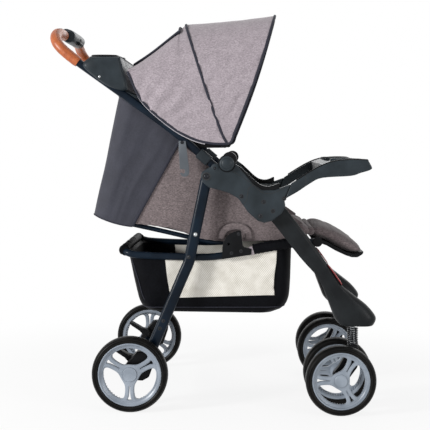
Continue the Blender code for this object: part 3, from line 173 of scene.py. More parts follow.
def finishes():
    made = {
        # Powder-coated steel tube: deep navy, faint orange peel, a crisp but soft-edged highlight
        NAVY: speckled("powder_coated_steel_navy", [(2.2,), (50, EVEN, 3)], (0, 1),
                               ((0.35, "#08111b"), (0.65, "#0e1a26")), (1, 0), 0.03, (0.26, 0.36),
                               IOR=1.5, Specular_IOR_Level=0.1, Coat_Weight=0.03,
                               Coat_Roughness=0.14),
        # ABS, moulded: charcoal with a fine grain and a satin sheen
        SLATE: moulded("abs_moulded_charcoal", "#20262a", "#2c3338", 0.4,
                                 Specular_IOR_Level=0.16),
        # Polyamide with glass fibre, moulded: the legs, near black with a long soft highlight
        "leg_plastic": moulded("polyamide_glass_filled_charcoal", "#141618", "#1d2022", 0.36,
                               Specular_IOR_Level=0.12),
        # Polyamide, moulded: near black, a little duller
        BLACK: moulded("polyamide_moulded_black", "#0b0b0d", "#131416", 0.36,
                                 Specular_IOR_Level=0.1),
        # Polyamide strap and catch: mid grey, smooth
        "grey_plastic": moulded("polyamide_moulded_grey", "#3f444a", "#4f555b", 0.42, depth=0.03),
        # ABS, moulded and lacquered silver grey: wheel centres
        "rim_plastic": moulded("abs_lacquered_silver_grey", "#737c87", "#8f98a3", 0.36, depth=0.02,
                               Metallic=0.0, Coat_Weight=0.2, Coat_Roughness=0.3),
        # EVA foam, moulded: brown-black, matte, pebbled
        "tyre_foam": speckled("eva_foam_moulded_black", [(1.6, EVEN, 4), (30, EVEN, 3)], (0, 1),
                              ((0.35, "#0b0b0b"), (0.65, "#151413")), (1, 0), 0.03, (0.34, 0.44),
                              IOR=1.45, Specular_IOR_Level=0.12),
        # Polyester thread for the grips' seam
        "thread": moulded("polyester_thread_brown", "#6d3216", "#864322", 0.7),
        # Melange polyester, woven: warm grey canopy, drawn paler than the seat's cloth
        TAUPE: melange("polyester_woven_warm_grey", ("#7d757a", "#948a90", "#aba1a7")),
        # Melange polyester: the seat's cloth, the same melange drawn darker and browner, with coarser
        # slubs
        "seat_cloth": melange("polyester_brushed_brown_grey", ("#4c4343", "#64595a", "#7f7373"), 0.5),
        # Oxford polyester, woven: ink blue hood, dry and even
        OXFORD: speckled("polyester_oxford_ink", [(1.5, (1, 1, 0.25), 1),
                               (1.5, (0.25, 0.5, 1), 1), (40, EVEN, 4)], (0.3, 0.3, 0.4),
                               ((0.38, "#1f202a"), (0.62, "#2c2d38")), (0.5, 0.5, 0), 0.22,
                               Roughness=0.82, Sheen_Weight=0.12, Sheen_Roughness=0.5),
        # Grosgrain binding: dense ribbed tape round every cloth edge
        "binding": speckled("polyester_grosgrain_ink", [(1.4,)], (1,),
                            ((0.35, "#1a1b25"), (0.65, "#2a2b36")), (1,), 0.25, Roughness=0.75,
                            Specular_IOR_Level=0.3),
        # Thin pale tape of the hook fastening under the canopy's edge
        "pale_tape": speckled("nylon_tape_pale", [(1.4,)], (1,),
                              ((0.35, "#8b878c"), (0.65, "#b9b5ba")), (1,), 0.2, Roughness=0.7),
        # Coated oxford: the basket's black walls, a little shine on its folds
        COATED: speckled("polyester_coated_black", [(1.6, (1, 1, 0.25), 1),
                                (1.6, (0.25, 0.5, 1), 1), (30, EVEN, 3)], (0.4, 0.3, 0.3),
                                ((0.36, "#050507"), (0.64, "#0e0f13")), (0.5, 0.5, 0), 0.25,
                                Roughness=0.5, Specular_IOR_Level=0.05),
        # Zinc-plated steel: bright, finely brushed
        STEEL: speckled("steel_zinc_plated", [(0.9, (1, 1, 0.15), 3)], (1,),
                                 ((0.3, "#9da0a3"), (0.7, "#c9ccce")), (1,), 0.01, (0.18, 0.32),
                                 Metallic=1.0),
        # Blackened steel: rivets and springs, oily dark with sharp glints
        "black_steel": speckled("steel_blackened", [(1.2, EVEN, 3)], (1,),
                                ((0.3, "#1b1c1f"), (0.7, "#303236")), (1,), 0.02, (0.16, 0.3),
                                Metallic=0.85),
        # Dark parting line where two mouldings meet; the same dark finish also paints shade: the
        # shadow line under the armrest's rounded top and a shadow ring round each rivet
        "seam": moulded("abs_parting_line", "#0c0d0e", "#141517", 0.7, depth=0.02),
        # Grey vinyl of the canopy's rear flap, soft gloss
        "flap": moulded("vinyl_calendered_grey", "#80868f", "#9aa0a8", 0.34, grain=2.0),
    }
    # Polyurethane leather: pebbled grain, tan, darker in the pores, lightly waxed
    material, tree, principled, place = surface("leather_pebbled_tan", IOR=1.48, Coat_Weight=0.12,
        Coat_Roughness=0.35)
    cells = node(tree, "ShaderNodeTexVoronoi", {"Vector": place, "Scale": 1000 / 1.8},
        feature="SMOOTH_F1").outputs["Distance"]
    cloud = speckle(tree, place, 14, detail=4, roughness=0.6)
    colour_from(tree, principled, blended(tree, ((cloud, 0.8), (cells, 0.3))),
        ((0.3, "#7d3d1a"), (0.52, "#9b4d21"), (0.74, "#aa5b29")))
    rubbed(tree, principled, cloud, 0.36, 0.5)
    relief(tree, principled, blended(tree, ((cells, -1.0), (cloud, 0.3))), 0.06)
    made["tan_leather"] = material
    # Warp-knitted mesh, cream: a diagonal net. Real holes are 1 mm; drawn at 4 mm to show
    material, tree, principled, place = surface("polyester_mesh_cream", Roughness=0.8)
    lines = []
    for lean in (1, -1):
        turned = node(tree, "ShaderNodeMapping", {"Vector": place,
            "Rotation": (0.0, lean * radians(52), 0.0)})
        lines.append(node(tree, "ShaderNodeTexWave", {"Vector": turned.outputs["Vector"],
            "Scale": 1000 / (4.2 * 6.2832) * 2, "Distortion": 0.6, "Detail": 1.0,
            "Detail Scale": 2.0}, bands_direction="Z", wave_profile="SIN").outputs["Fac"])
    cloud = speckle(tree, place, 22, detail=4)
    net = blended(tree, ((lines[0], 0.28), (lines[1], 0.16), (cloud, 0.5)))
    colour_from(tree, principled, net, ((0.22, "#b5b0a5"), (0.48, "#d3cfc6"), (0.7, "#e6e3dc")))
    relief(tree, principled, net, 0.5)
    made["mesh_cloth"] = material
    # Acrylic reflector, moulded: deep red with a prism pattern behind a clear face
    material, tree, principled, place = surface("acrylic_moulded_red", Roughness=0.16, IOR=1.49,
        Coat_Weight=0.6, Coat_Roughness=0.05)
    prisms = node(tree, "ShaderNodeTexVoronoi", {"Vector": place, "Scale": 1000 / 2.4},
        distance="CHEBYCHEV").outputs["Distance"]
    colour_from(tree, principled, prisms, ((0.0, "#5a0004"), (0.6, "#8e0407"), (1.0, "#b00f11")))
    relief(tree, principled, prisms, 0.2)
    made["red_lens"] = material
    return made


FINISH = finishes()
for cad_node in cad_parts.values():
    for holder in cad_node.material_slots:
        for slot_name in (NAVY, SLATE, BLACK, "grey_plastic", "rim_plastic", "tyre_foam",
                "tan_leather", TAUPE, OXFORD, COATED, STEEL, "black_steel", "red_lens"):
            if holder.material and holder.material.name.startswith(slot_name):
                holder.material = FINISH[slot_name]
                break


# Shapes

def settle(piece, body, slot, *nodes):
    """The piece rides on a body and stands for CAD nodes; the slot is not used."""
    if body:
        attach(piece, body)
    if nodes:
        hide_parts(*nodes)
    return piece


def linked(name, data):
    made = bpy.data.objects.new(name, data)
    bpy.context.collection.objects.link(made)
    return made


def healed(mesh, distance):
    """Joins a mesh's doubled points and turns its faces outwards."""
    shell = bmesh.new()
    shell.from_mesh(mesh)
    bmesh.ops.remove_doubles(shell, verts=shell.verts, dist=distance)
    bmesh.ops.recalc_face_normals(shell, faces=shell.faces)
    shell.to_mesh(mesh)
    shell.free()


def smoothed(mesh, sharp):
    mesh.shade_smooth()
    mesh.set_sharp_from_angle(angle=radians(sharp))


def evaluated(piece):
    bpy.context.view_layer.update()
    graph = bpy.context.evaluated_depsgraph_get()
    return bpy.data.meshes.new_from_object(piece.evaluated_get(graph))


def shape(name, points, faces, finish, sharp=38, picks=None):
    """A closed form from points and faces, with its faces turned outwards."""
    mesh = bpy.data.meshes.new(name)
    mesh.from_pydata([tuple(point) for point in points], [], faces)
    for key in [finish] if isinstance(finish, str) else finish:
        mesh.materials.append(FINISH[key])
    if picks:
        mesh.polygons.foreach_set("material_index", picks)
    healed(mesh, 1e-6)
    smoothed(mesh, sharp)
    return linked(name, mesh)


def settled(piece, sharp=38):
    """Applies what modifiers the piece has, as one plain mesh."""
    finished = evaluated(piece)
    piece.modifiers.clear()
    piece.data = finished
    smoothed(finished, sharp)
    return piece


def rounded(piece, width, segments=3, angle=32):
    edges = piece.modifiers.new("edges", "BEVEL")
    edges.width = width
    edges.segments = segments
    edges.limit_method = "ANGLE"
    edges.angle_limit = radians(angle)
    edges.harden_normals = False
    return settled(piece)


def carved(piece, *tools):
    for tool in tools:
        step = piece.modifiers.new("carve", "BOOLEAN")
        step.operation = "DIFFERENCE"
        step.object = tool
        step.solver = "EXACT"
    settled(piece)
    for tool in tools:
        bpy.data.objects.remove(tool, do_unlink=True)
    return piece


def merged(name, pieces):
    """Several forms as one piece that keeps each one's material."""
    whole = bmesh.new()
    materials = []
    for piece in pieces:
        first = len(whole.faces)
        whole.from_mesh(piece.data)
        whole.faces.ensure_lookup_table()
        own = list(piece.data.materials)
        for face in whole.faces[first:]:
            material = own[min(face.material_index, len(own) - 1)]
            if material not in materials:
                materials.append(material)
            face.material_index = materials.index(material)
    mesh = bpy.data.meshes.new(name)
    for material in materials:
        mesh.materials.append(material)
    whole.to_mesh(mesh)
    whole.free()
    for piece in pieces:
        bpy.data.objects.remove(piece, do_unlink=True)
    return linked(name, mesh)


def interpolate(table, x):
    if x <= table[0][0]:
        return table[0][1]
    for (x0, v0), (x1, v1) in zip(table, table[1:]):
        if x <= x1:
            return v0 + (v1 - v0) * (x - x0) / (x1 - x0)
    return table[-1][1]


def eased(table, x):
    """As interpolate, but rounded through the knots."""
    if x <= table[0][0]:
        return table[0][1]
    if x >= table[-1][0]:
        return table[-1][1]
    count = len(table)
    for index in range(count - 1):
        (x0, v0), (x1, v1) = table[index], table[index + 1]
        if x <= x1:
            before = table[max(index - 1, 0)]
            after = table[min(index + 2, count - 1)]
            slope_0 = (v1 - before[1]) / (x1 - before[0])
            slope_1 = (after[1] - v0) / (after[0] - x0)
            span = x1 - x0
            t = (x - x0) / span
            return ((2 * t ** 3 - 3 * t ** 2 + 1) * v0 + (t ** 3 - 2 * t ** 2 + t) * span * slope_0
                + (3 * t ** 2 - 2 * t ** 3) * v1 + (t ** 3 - t ** 2) * span * slope_1)
    return table[-1][1]


def through(knots, per_span=6, closed=False):
    """Points on a smooth curve through the knots."""
    knots = [Vector(knot) for knot in knots]
    if closed:
        padded = [knots[-1], *knots, knots[0], knots[1]]
    else:
        padded = [2 * knots[0] - knots[1], *knots, 2 * knots[-1] - knots[-2]]
    path = []
    for index in range(1, len(padded) - 2):
        before, start, end, after = padded[index - 1:index + 3]
        for step in range(per_span):
            t = step / per_span
            path.append(0.5 * (2 * start + (end - before) * t + (2 * before - 5 * start + 4 * end -
                after) * t ** 2 + (3 * start - before - 3 * end + after) * t ** 3))
    if not closed:
        path.append(knots[-1])
    return path


def frames_along(path, side=(0, 1, 0)):
    """The point, its side and its up direction along a path, without twist."""
    path = [Vector(point) for point in path]
    side = Vector(side)
    frames = []
    for index, point in enumerate(path):
        along = (path[min(index + 1, len(path) - 1)] - path[max(index - 1, 0)]).normalized()
        side = (side - along * side.dot(along)).normalized()
        frames.append((point, side.copy(), along.cross(side)))
    return frames


def curved(outline, per_span, closed=False):
    """The same for (x, z) places in the side view."""
    return through([(x, 0, z) for x, z in outline], per_span, closed)


def superellipse(angle, power):
    return tuple(copysign(abs(value) ** (2 / power), value) for value in (cos(angle), sin(angle)))


def ring_at(place, half_side, half_up, sides, power=2.0):
    point, side, up = place
    ring = []
    for step in range(sides):
        across, rise = superellipse(tau * step / sides, power)
        ring.append(point + side * half_side * across + up * half_up * rise)
    return ring


def skin(rings, looped=False):
    """Faces between rings of equal count, with two end caps or joined round."""
    count = len(rings[0])
    points = [point for ring in rings for point in ring]
    faces = []
    for level in range(len(rings) - (0 if looped else 1)):
        low = level * count
        high = (level + 1) % len(rings) * count
        for step in range(count):
            after = (step + 1) % count
            faces.append((low + step, low + after, high + after, high + step))
    if not looped:
        last = (len(rings) - 1) * count
        faces += [tuple(reversed(range(count))), tuple(range(last, last + count))]
    return points, faces


def skinned(name, rings, finish, sharp=38, looped=False):
    return shape(name, *skin(rings, looped), finish, sharp)


def tube(name, path, half_side, half_up, finish, sides=24, power=2.0, side=(0, 1, 0), dome=0.0):
    """A swept tube with slightly rounded ends."""
    frames = frames_along(path, side)
    rings = [ring_at(place, half_side, half_up, sides, power) for place in frames]
    if dome:
        ends = []
        for place, towards in ((frames[0], frames[0][0] - frames[1][0]),
                (frames[-1], frames[-1][0] - frames[-2][0])):
            step = towards.normalized()
            ends.append([ring_at((place[0] + step * dome * lift, place[1], place[2]),
                half_side * share, half_up * share, sides, power) for lift,
                share in ((0.55, 0.9), (0.9, 0.62), (1.0, 0.2))])
        rings = [*reversed(ends[0]), *rings, *ends[1]]
    return skinned(name, rings, finish)


def revolved(name, profile, at, finish, steps, sharp=38):
    """A closed (radius, distance) profile, turned about a line."""
    points = []
    rings = []
    for radius, distance in profile:
        count = steps if radius else 1
        rings.append(range(len(points), len(points) + count))
        points += [at(x, z, distance) for x, z in circle((0, 0), radius, steps)[:count]]
    faces = []
    for here, there in zip(rings, rings[1:] + rings[:1]):
        if len(here) == 1 and len(there) == 1:
            continue
        for step in range(steps):
            after = (step + 1) % steps
            quad = (here[step % len(here)], here[after % len(here)], there[after % len(there)],
                there[step % len(there)])
            faces.append(tuple(dict.fromkeys(quad)))
    return shape(name, points, faces, finish, sharp)


def circle(centre, radius, steps):
    return [(centre[0] + radius * cos(tau * step / steps), centre[1] + radius *
        sin(tau * step / steps)) for step in range(steps)]


def from_base(base, *places):
    """(radius, distance) in millimetres, with the distance counted from a base in metres."""
    return [(radius, base + distance) for radius, distance in mm(*places)]


def lathe(name, profile, centre, y_sign, finish, steps=96, sharp=38):
    """Turned about an axle along Y."""
    return revolved(name, profile, lambda u, v, y: (centre[0] + u, y_sign * y, centre[1] + v),
        finish, steps, sharp)


def slab(name, outline, y_from, y_to, finish, edge=0.0, segments=3):
    """A side-view outline carried across the pram, with rounded edges."""
    made = skinned(name, [[(x, y, z) for x, z in outline] for y in (y_from, y_to)], finish)
    return rounded(made, edge, segments) if edge else made


def rod(name, centre, radius, y_from, y_to, finish, steps=32, edge=0.0006):
    low, high = min(y_from, y_to), max(y_from, y_to)
    return lathe(name, [(0, low), (radius - edge, low), (radius, low + edge),
        (radius, high - edge), (radius - edge, high), (0, high)], centre, 1, finish, steps)


def post(name, x, y, profile, finish, steps=32):
    """Turned about an upright axis."""
    return revolved(name, profile, lambda u, v, z: (x + u, y + v, z), finish, steps)


def bore(x, y, radius, low, high, steps=32):
    """An upright round cutter."""
    return post("bore", x, y, [(0, low), (radius, low), (radius, high), (0, high)], SLATE, steps)


def box(x0, z0, x1, z1):
    return [(x0, z0), (x1, z0), (x1, z1), (x0, z1)]


def mirrored(line):
    """The same line on the other side of the pram, run backwards."""
    return [(x, -y, z) for x, y, z in reversed(line)]


def both(*makers):
    for label, side in SIDES:
        for maker in makers:
            maker(label, side)


def sheet(name, grid, finish, sharp=60):
    """A closed thin wall from a grid of (outer, inner) points."""
    rows = len(grid)
    columns = len(grid[0])
    points = [pair[0] for row in grid for pair in row] + [pair[1] for row in grid for pair in row]
    inner = rows * columns
    faces = []
    for row in range(rows - 1):
        for a in range(row * columns, row * columns + columns - 1):
            quad = (a, a + 1, a + columns + 1, a + columns)
            faces += [quad, tuple(inner + index for index in reversed(quad))]
    border = list(range(columns))
    border += [row * columns + columns - 1 for row in range(1, rows)]
    border += [(rows - 1) * columns + column for column in reversed(range(columns - 1))]
    border += [row * columns for row in reversed(range(1, rows - 1))]
    for here, there in zip(border, border[1:] + border[:1]):
        faces.append((there, here, inner + here, inner + there))
    return shape(name, points, faces, finish, sharp)


def plate(name, loops, y, thick, edge, finish):
    """A flat plate in the side view with holes: the first loop is its rim."""
    data = bpy.data.curves.new(name, "CURVE")
    data.dimensions = "2D"
    data.fill_mode = "BOTH"
    data.extrude = thick / 2 - edge
    data.bevel_depth = edge
    data.bevel_resolution = 2
    for loop in loops:
        line = data.splines.new("POLY")
        line.points.add(len(loop) - 1)
        for point, (x, z) in zip(line.points, loop):
            point.co = (x, z, 0, 1)
        line.use_cyclic_u = True
    source = linked(name, data)
    mesh = evaluated(source)
    bpy.data.objects.remove(source, do_unlink=True)
    mesh.transform(Matrix.Translation((0, y, 0)) @ Matrix.Rotation(pi / 2, 4, "X"))
    healed(mesh, 1e-5)
    mesh.materials.clear()
    mesh.materials.append(FINISH[finish])
    smoothed(mesh, 38)
    return linked(name, mesh)


# Repeats by Geometry Nodes

def repeat_tree(name, sizes):
    """An empty geometry tree with named size inputs, its input and output nodes."""
    tree = bpy.data.node_groups.new(name, "GeometryNodeTree")
    tree.interface.new_socket("Geometry", in_out="INPUT", socket_type="NodeSocketGeometry")
    for title in sizes:
        tree.interface.new_socket(title, in_out="INPUT", socket_type="NodeSocketFloat")
    tree.interface.new_socket("Geometry", in_out="OUTPUT", socket_type="NodeSocketGeometry")
    return tree, node(tree, "NodeGroupInput").outputs


def facing(tree):
    """The direction that each marker point carries."""
    return node(tree, "GeometryNodeInputNamedAttribute", {"Name": "facing"},
        data_type="FLOAT_VECTOR").outputs[0]


def close_tree(tree, points, instance, finish, direction=None):
    """The instance at each point, turned to its direction, as faces of one finish."""
    inputs = {"Points": points, "Instance": instance}
    if direction is not None:
        inputs["Rotation"] = node(tree, "FunctionNodeAlignRotationToVector", {"Vector": direction},
            axis="Z").outputs["Rotation"]
    placed = node(tree, "GeometryNodeInstanceOnPoints", inputs).outputs["Instances"]
    solid = node(tree, "GeometryNodeRealizeInstances", {"Geometry": placed})
    coloured = node(tree, "GeometryNodeSetMaterial", {"Geometry": solid.outputs["Geometry"],
        "Material": FINISH[finish]})
    node(tree, "NodeGroupOutput", {"Geometry": coloured.outputs["Geometry"]})
    return tree


def grown(name, tree, sizes, points, edges=(), normals=None):
    """Runs a repeat tree on marker points and keeps the result as a plain mesh."""
    mesh = bpy.data.meshes.new(name)
    mesh.from_pydata([tuple(point) for point in points], list(edges), [])
    if normals:
        directions = mesh.attributes.new("facing", "FLOAT_VECTOR", "POINT")
        for value, normal in zip(directions.data, normals):
            value.vector = normal
    made = linked(name, mesh)
    step = made.modifiers.new("repeat", "NODES")
    step.node_group = tree
    for socket in tree.interface.items_tree:
        if socket.in_out == "INPUT" and socket.name in sizes:
            step[socket.identifier] = sizes[socket.name]
    return settled(made)


def rivet_tree(finish):
    """A domed rivet head on a washer at each point, facing its own way."""
    tree, size = repeat_tree(f"rivets_{finish}", ("Radius", "Height"))
    washer = node(tree, "GeometryNodeMeshCylinder", {"Vertices": 24, "Radius": size["Radius"],
        "Depth": maths(tree, "MULTIPLY", size["Height"], 0.5)})
    dome = node(tree, "GeometryNodeMeshUVSphere", {"Segments": 24, "Rings": 12,
        "Radius": maths(tree, "MULTIPLY", size["Radius"], 0.8)})
    flat = maths(tree, "DIVIDE", size["Height"], size["Radius"])
    squeezed = node(tree, "GeometryNodeTransform", {"Geometry": dome.outputs["Mesh"],
        "Scale": node(tree, "ShaderNodeCombineXYZ", {"X": 1.0, "Y": 1.0, "Z": flat}).outputs[0]})
    head = node(tree, "GeometryNodeJoinGeometry")
    tree.links.new(washer.outputs["Mesh"], head.inputs[0])
    tree.links.new(squeezed.outputs["Geometry"], head.inputs[0])
    return close_tree(tree, size["Geometry"], head.outputs["Geometry"], finish, facing(tree))


def stitch_tree(finish):
    """Short threads laid end to end along a line."""
    tree, size = repeat_tree(f"stitches_{finish}", ("Spacing", "Thread"))
    line = node(tree, "GeometryNodeMeshToCurve", {"Mesh": size["Geometry"]})
    spaced = node(tree, "GeometryNodeResampleCurve", {"Curve": line.outputs["Curve"],
        "Length": size["Spacing"]}, mode="LENGTH")
    thread = node(tree, "GeometryNodeMeshCylinder", {"Vertices": 6, "Radius": size["Thread"],
        "Depth": maths(tree, "MULTIPLY", size["Spacing"], 0.62)})
    return close_tree(tree, spaced.outputs["Curve"], thread.outputs["Mesh"], finish,
        node(tree, "GeometryNodeInputTangent").outputs[0])


def rib_tree(finish):
    """A small moulded rib at each point, its length along its own direction."""
    tree, size = repeat_tree(f"ribs_{finish}", ("Length", "Width", "Height"))
    rib = node(tree, "GeometryNodeMeshCube", {"Size": node(tree, "ShaderNodeCombineXYZ",
        {"X": size["Width"], "Y": size["Height"], "Z": size["Length"]}).outputs[0]})
    return close_tree(tree, size["Geometry"], rib.outputs["Mesh"], finish, facing(tree))


def coil_tree(finish):
    """A wire wound round an upright axis between two flat ends."""
    tree, size = repeat_tree(f"coil_{finish}", ("Turns", "Radius", "Wire", "Height"))
    helix = node(tree, "GeometryNodeCurveSpiral", {"Resolution": 28, "Rotations": size["Turns"],
        "Start Radius": size["Radius"], "End Radius": size["Radius"], "Height": size["Height"]})
    round_wire = node(tree, "GeometryNodeCurvePrimitiveCircle", {"Resolution": 10,
        "Radius": size["Wire"]})
    wire = node(tree, "GeometryNodeCurveToMesh", {"Curve": helix.outputs["Curve"],
        "Profile Curve": round_wire.outputs["Curve"], "Fill Caps": True})
    return close_tree(tree, size["Geometry"], wire.outputs["Mesh"], finish)


RIVETS = rivet_tree("black_steel")
BRIGHT_RIVETS = rivet_tree(STEEL)
# Thin dark discs under the rivet heads: a painted shadow ring round each
RIVET_SHADOW_RINGS = rivet_tree("seam")
SEAM_STITCHES = stitch_tree("thread")
RIM_RIBS = rib_tree("rim_plastic")
GRIP_RIBS = rib_tree(BLACK)
COILS = coil_tree("black_steel")


def rivets(name, places, y, body, radius=0.0034, bright=False, height=0.0018):
    """Rivet heads on both sides of the pram, facing outwards."""
    points = [(x, side * y, z) for x, z in places for _, side in SIDES]
    normals = [(0, side, 0) for _ in places for _, side in SIDES]
    tree = BRIGHT_RIVETS if bright else RIVETS
    head = grown(name, tree, {"Radius": radius, "Height": height}, points, normals=normals)
    # A wider, thin disc of the dark seam finish under each head, painted as the shadow ring round the
    # rivet
    seat = grown(f"{name}_seats", RIVET_SHADOW_RINGS, {"Radius": radius * 1.35, "Height": 0.0006}, points,
        normals=normals)
    made = merged(name, [head, seat])
    return settle(made, body, STEEL if bright else "black_steel")


def stitches(name, path, body, tree, slot, spacing=0.0042, thread=0.0006):
    edges = [(index, index + 1) for index in range(len(path) - 1)]
    made = grown(name, tree, {"Spacing": spacing, "Thread": thread}, path, edges)
    return settle(made, body, slot) if body else made


# Sizes that the solids have too
FIT = 0.0003
RUNNING = 0.0005
RAIL_Y = 0.198
RAIL_R = 0.009
BAR_R = 0.01
BAR_Y = 0.225
FOLD_PIVOT = (0.0057, 0.6114)
BAR_ANGLE = radians(140)
HANDLE = (-0.397, 0.946)
HOUSING_SPAN = 0.085
LEG_PIVOT = (-0.0157, 0.5895)
LEG_BEND = (-0.0585, 0.375)
LEG_FOOT = (-0.1726, 0.098)
SHELL_IN = 0.2375
SHELL_OUT = 0.264
CHEEK_IN = 0.2045
CHEEK_OUT = 0.2085
BLOCK_Y = (0.2065, 0.2435)
HALF_TRACK = 0.265
REAR_AXLE = (-0.201, 0.095)
FRONT_AXLE = (0.323, 0.0875)
WHEEL_WIDTH = 0.034
TYRE_DEPTH = 0.0155
CASTER_X = 0.3555
CASTER_Y = 0.209
CASTER_SPREAD = 0.056
HOOD_Z = 0.2185
SPRING_SEAT_Z = 0.1692
FRONT_LEG_Y = 0.2235
RECLINE_PIVOT = (0.04, 0.418)
CALF_PIVOT = (0.2635, 0.426)
CANOPY_PIVOT = (0.028, 0.668)
CANOPY_IN = 0.2358
CANOPY_POWER = 4.5
RAIL_LINE = mm((-228, 398), (-214, 391.5), (-194, 386.5), (-130, 383.8), (-58.5, 383),
    (3.5, 384.5), (86, 398.5), (140, 409), (189, 418), (228, 423.5), (263.5, 426))


def at_y_line(x, z, half):
    """A straight line across the pram, between -half and half."""
    return [(x, -half + 2 * half * step / 12, z) for step in range(13)]


def at_y(line, y):
    return [(x, y, z) for x, z in line]


# Wheels

def on_wheel(loop, centre, turn, scale):
    """A loop drawn beside the axle, scaled and turned about the wheel's centre."""
    cosine, sine = cos(turn), sin(turn)
    return [(centre[0] + scale * (u * cosine - v * sine), centre[1] + scale *
        (u * sine + v * cosine)) for u, v in loop]


def wheel_window(grow):
    """A rounded triangle between two spokes."""
    half = mm((24, 0), (23.8, 8.5), (24.5, 17), (28.5, 26.2), (35, 35.8), (40.2, 41.2), (45.5, 43),
        (51, 40.5), (56.8, 33.3), (62.6, 20.5), (66, 0))
    loop = [(u, -v) for u, v in half] + [(u, v) for u, v in reversed(half[1:-1])]
    middle = 0.0445
    loop = [(middle + (u - middle) * grow, v * grow) for u, v in loop]
    return [(p.x, p.z) for p in curved(loop, 6, True)]


def spoke_slot(grow):
    half = mm((29, 0.7), (47, 1.4), (57, 2.6), (62.8, 5), (65.2, 4.2))
    loop = [(u, v + grow) for u, v in half] + [(0.0658, 0.0)]
    return loop + [(u, -v - grow) for u, v in reversed(half)]


def wheel(name, radius, centre, y, side, body, first_spoke):
    """A foam tyre on a rim of three double spokes."""
    half = WHEEL_WIDTH / 2
    inside = y * side - half
    outside = y * side + half
    bead = radius - TYRE_DEPTH
    edge = [(bead + r, d) for r, d in mm((0, 4), (1.2, 1.8), (4, 0.6), (6.2, 0.4), (7, 1.4),
        (7.8, 0.5), (10, 0.8), (10.8, 2), (11.8, 1.4))]
    edge += [(radius + r, d) for r, d in mm((-1.8, 4.2), (-0.4, 7.4), (0, 10), (0, 14.5),
        (-1.1, 15.2), (0, 16))]
    profile = [(r, inside + d) for r, d in edge] + [(r, outside - d) for r, d in reversed(edge)]
    tyre = lathe(f"{name}_tyre_foam", profile, centre, side, "tyre_foam", 96, 50)
    settle(tyre, body, "tyre_foam", f"{name}_tyre")
    seat = bead - FIT
    scale = seat / 0.0792
    well = 0.0676 * scale
    ring = lathe("wheel_barrel", [(seat, inside + 0.005), (seat, outside - 0.0038),
        (seat - 0.0012, outside - 0.003), (seat - 0.003, outside - 0.0031),
        (seat - 0.0036, outside - 0.0038), (well + 0.0055, outside - 0.0066),
        (well + 0.003, outside - 0.0074), (well + 0.0012, outside - 0.0098),
        (well + 0.0016, inside + 0.011), (well + 0.004, inside + 0.007),
        (seat - 0.002, inside + 0.005)], centre, side, "rim_plastic", 96)
    rim = circle(centre, well + 0.003, 96)
    base = [rim]
    raised = [[(centre[0] + (x - centre[0]) * 0.985, centre[1] + (z - centre[1]) * 0.985) for x,
        z in rim]]
    for turn in range(3):
        spoke = first_spoke + tau * turn / 3
        for loops, window, slot in ((base, 1.04, 0.0006), (raised, 1.09, 0.0021)):
            loops += [on_wheel(wheel_window(window), centre, spoke + pi / 3, scale),
                on_wheel(spoke_slot(slot), centre, spoke, scale)]
    face = side * (outside - 0.0095)
    web = plate("wheel_web", base, face - side * 0.0045, 0.009, 0.0007, "rim_plastic")
    ridge = plate("wheel_ridge", raised, face + side * 0.0004, 0.0016, 0.0005, "rim_plastic")
    cap = lathe("wheel_cap", [(0, outside - 0.0058), (0.0168 * scale, outside - 0.006),
        (0.0178 * scale, outside - 0.0068), (0.0182 * scale, outside - 0.0088),
        (0.019 * scale, outside - 0.009), (0.0194 * scale, outside - 0.0078),
        (0.021 * scale, outside - 0.008), (0.0214 * scale, outside - 0.012),
        (0.015, inside + 0.004), (0.0128, inside + 0.001), (0.0085, inside + 0.0006),
        (0.008, inside + 0.003), (0, inside + 0.003)], centre, side, "rim_plastic", 64)
    ribs = [(x, side * (outside - 0.0205), z) for x, z in circle(centre, well + 0.0002, 60)]
    teeth = grown("wheel_teeth", RIM_RIBS, {"Length": 0.014, "Width": 0.0016, "Height": 0.0016},
        ribs, normals=[(0, side, 0)] * len(ribs))
    whole = merged(f"{name}_centre", [ring, web, ridge, cap, teeth])
    settle(whole, body, "rim_plastic", f"{name}_rim")


for label, side in SIDES:
    wheel(f"rear_wheel_{label}", 0.095, REAR_AXLE, side * HALF_TRACK, side, f"rear_wheel_{label}",
        side * pi / 2)
    wheel(f"front_outer_{label}", 0.0875, FRONT_AXLE, side * (CASTER_Y + CASTER_SPREAD), side,
        f"front_outer_{label}", pi)
    wheel(f"front_inner_{label}", 0.0875, FRONT_AXLE, side * (CASTER_Y - CASTER_SPREAD), -side,
        f"front_inner_{label}", pi)


# Casters and springs

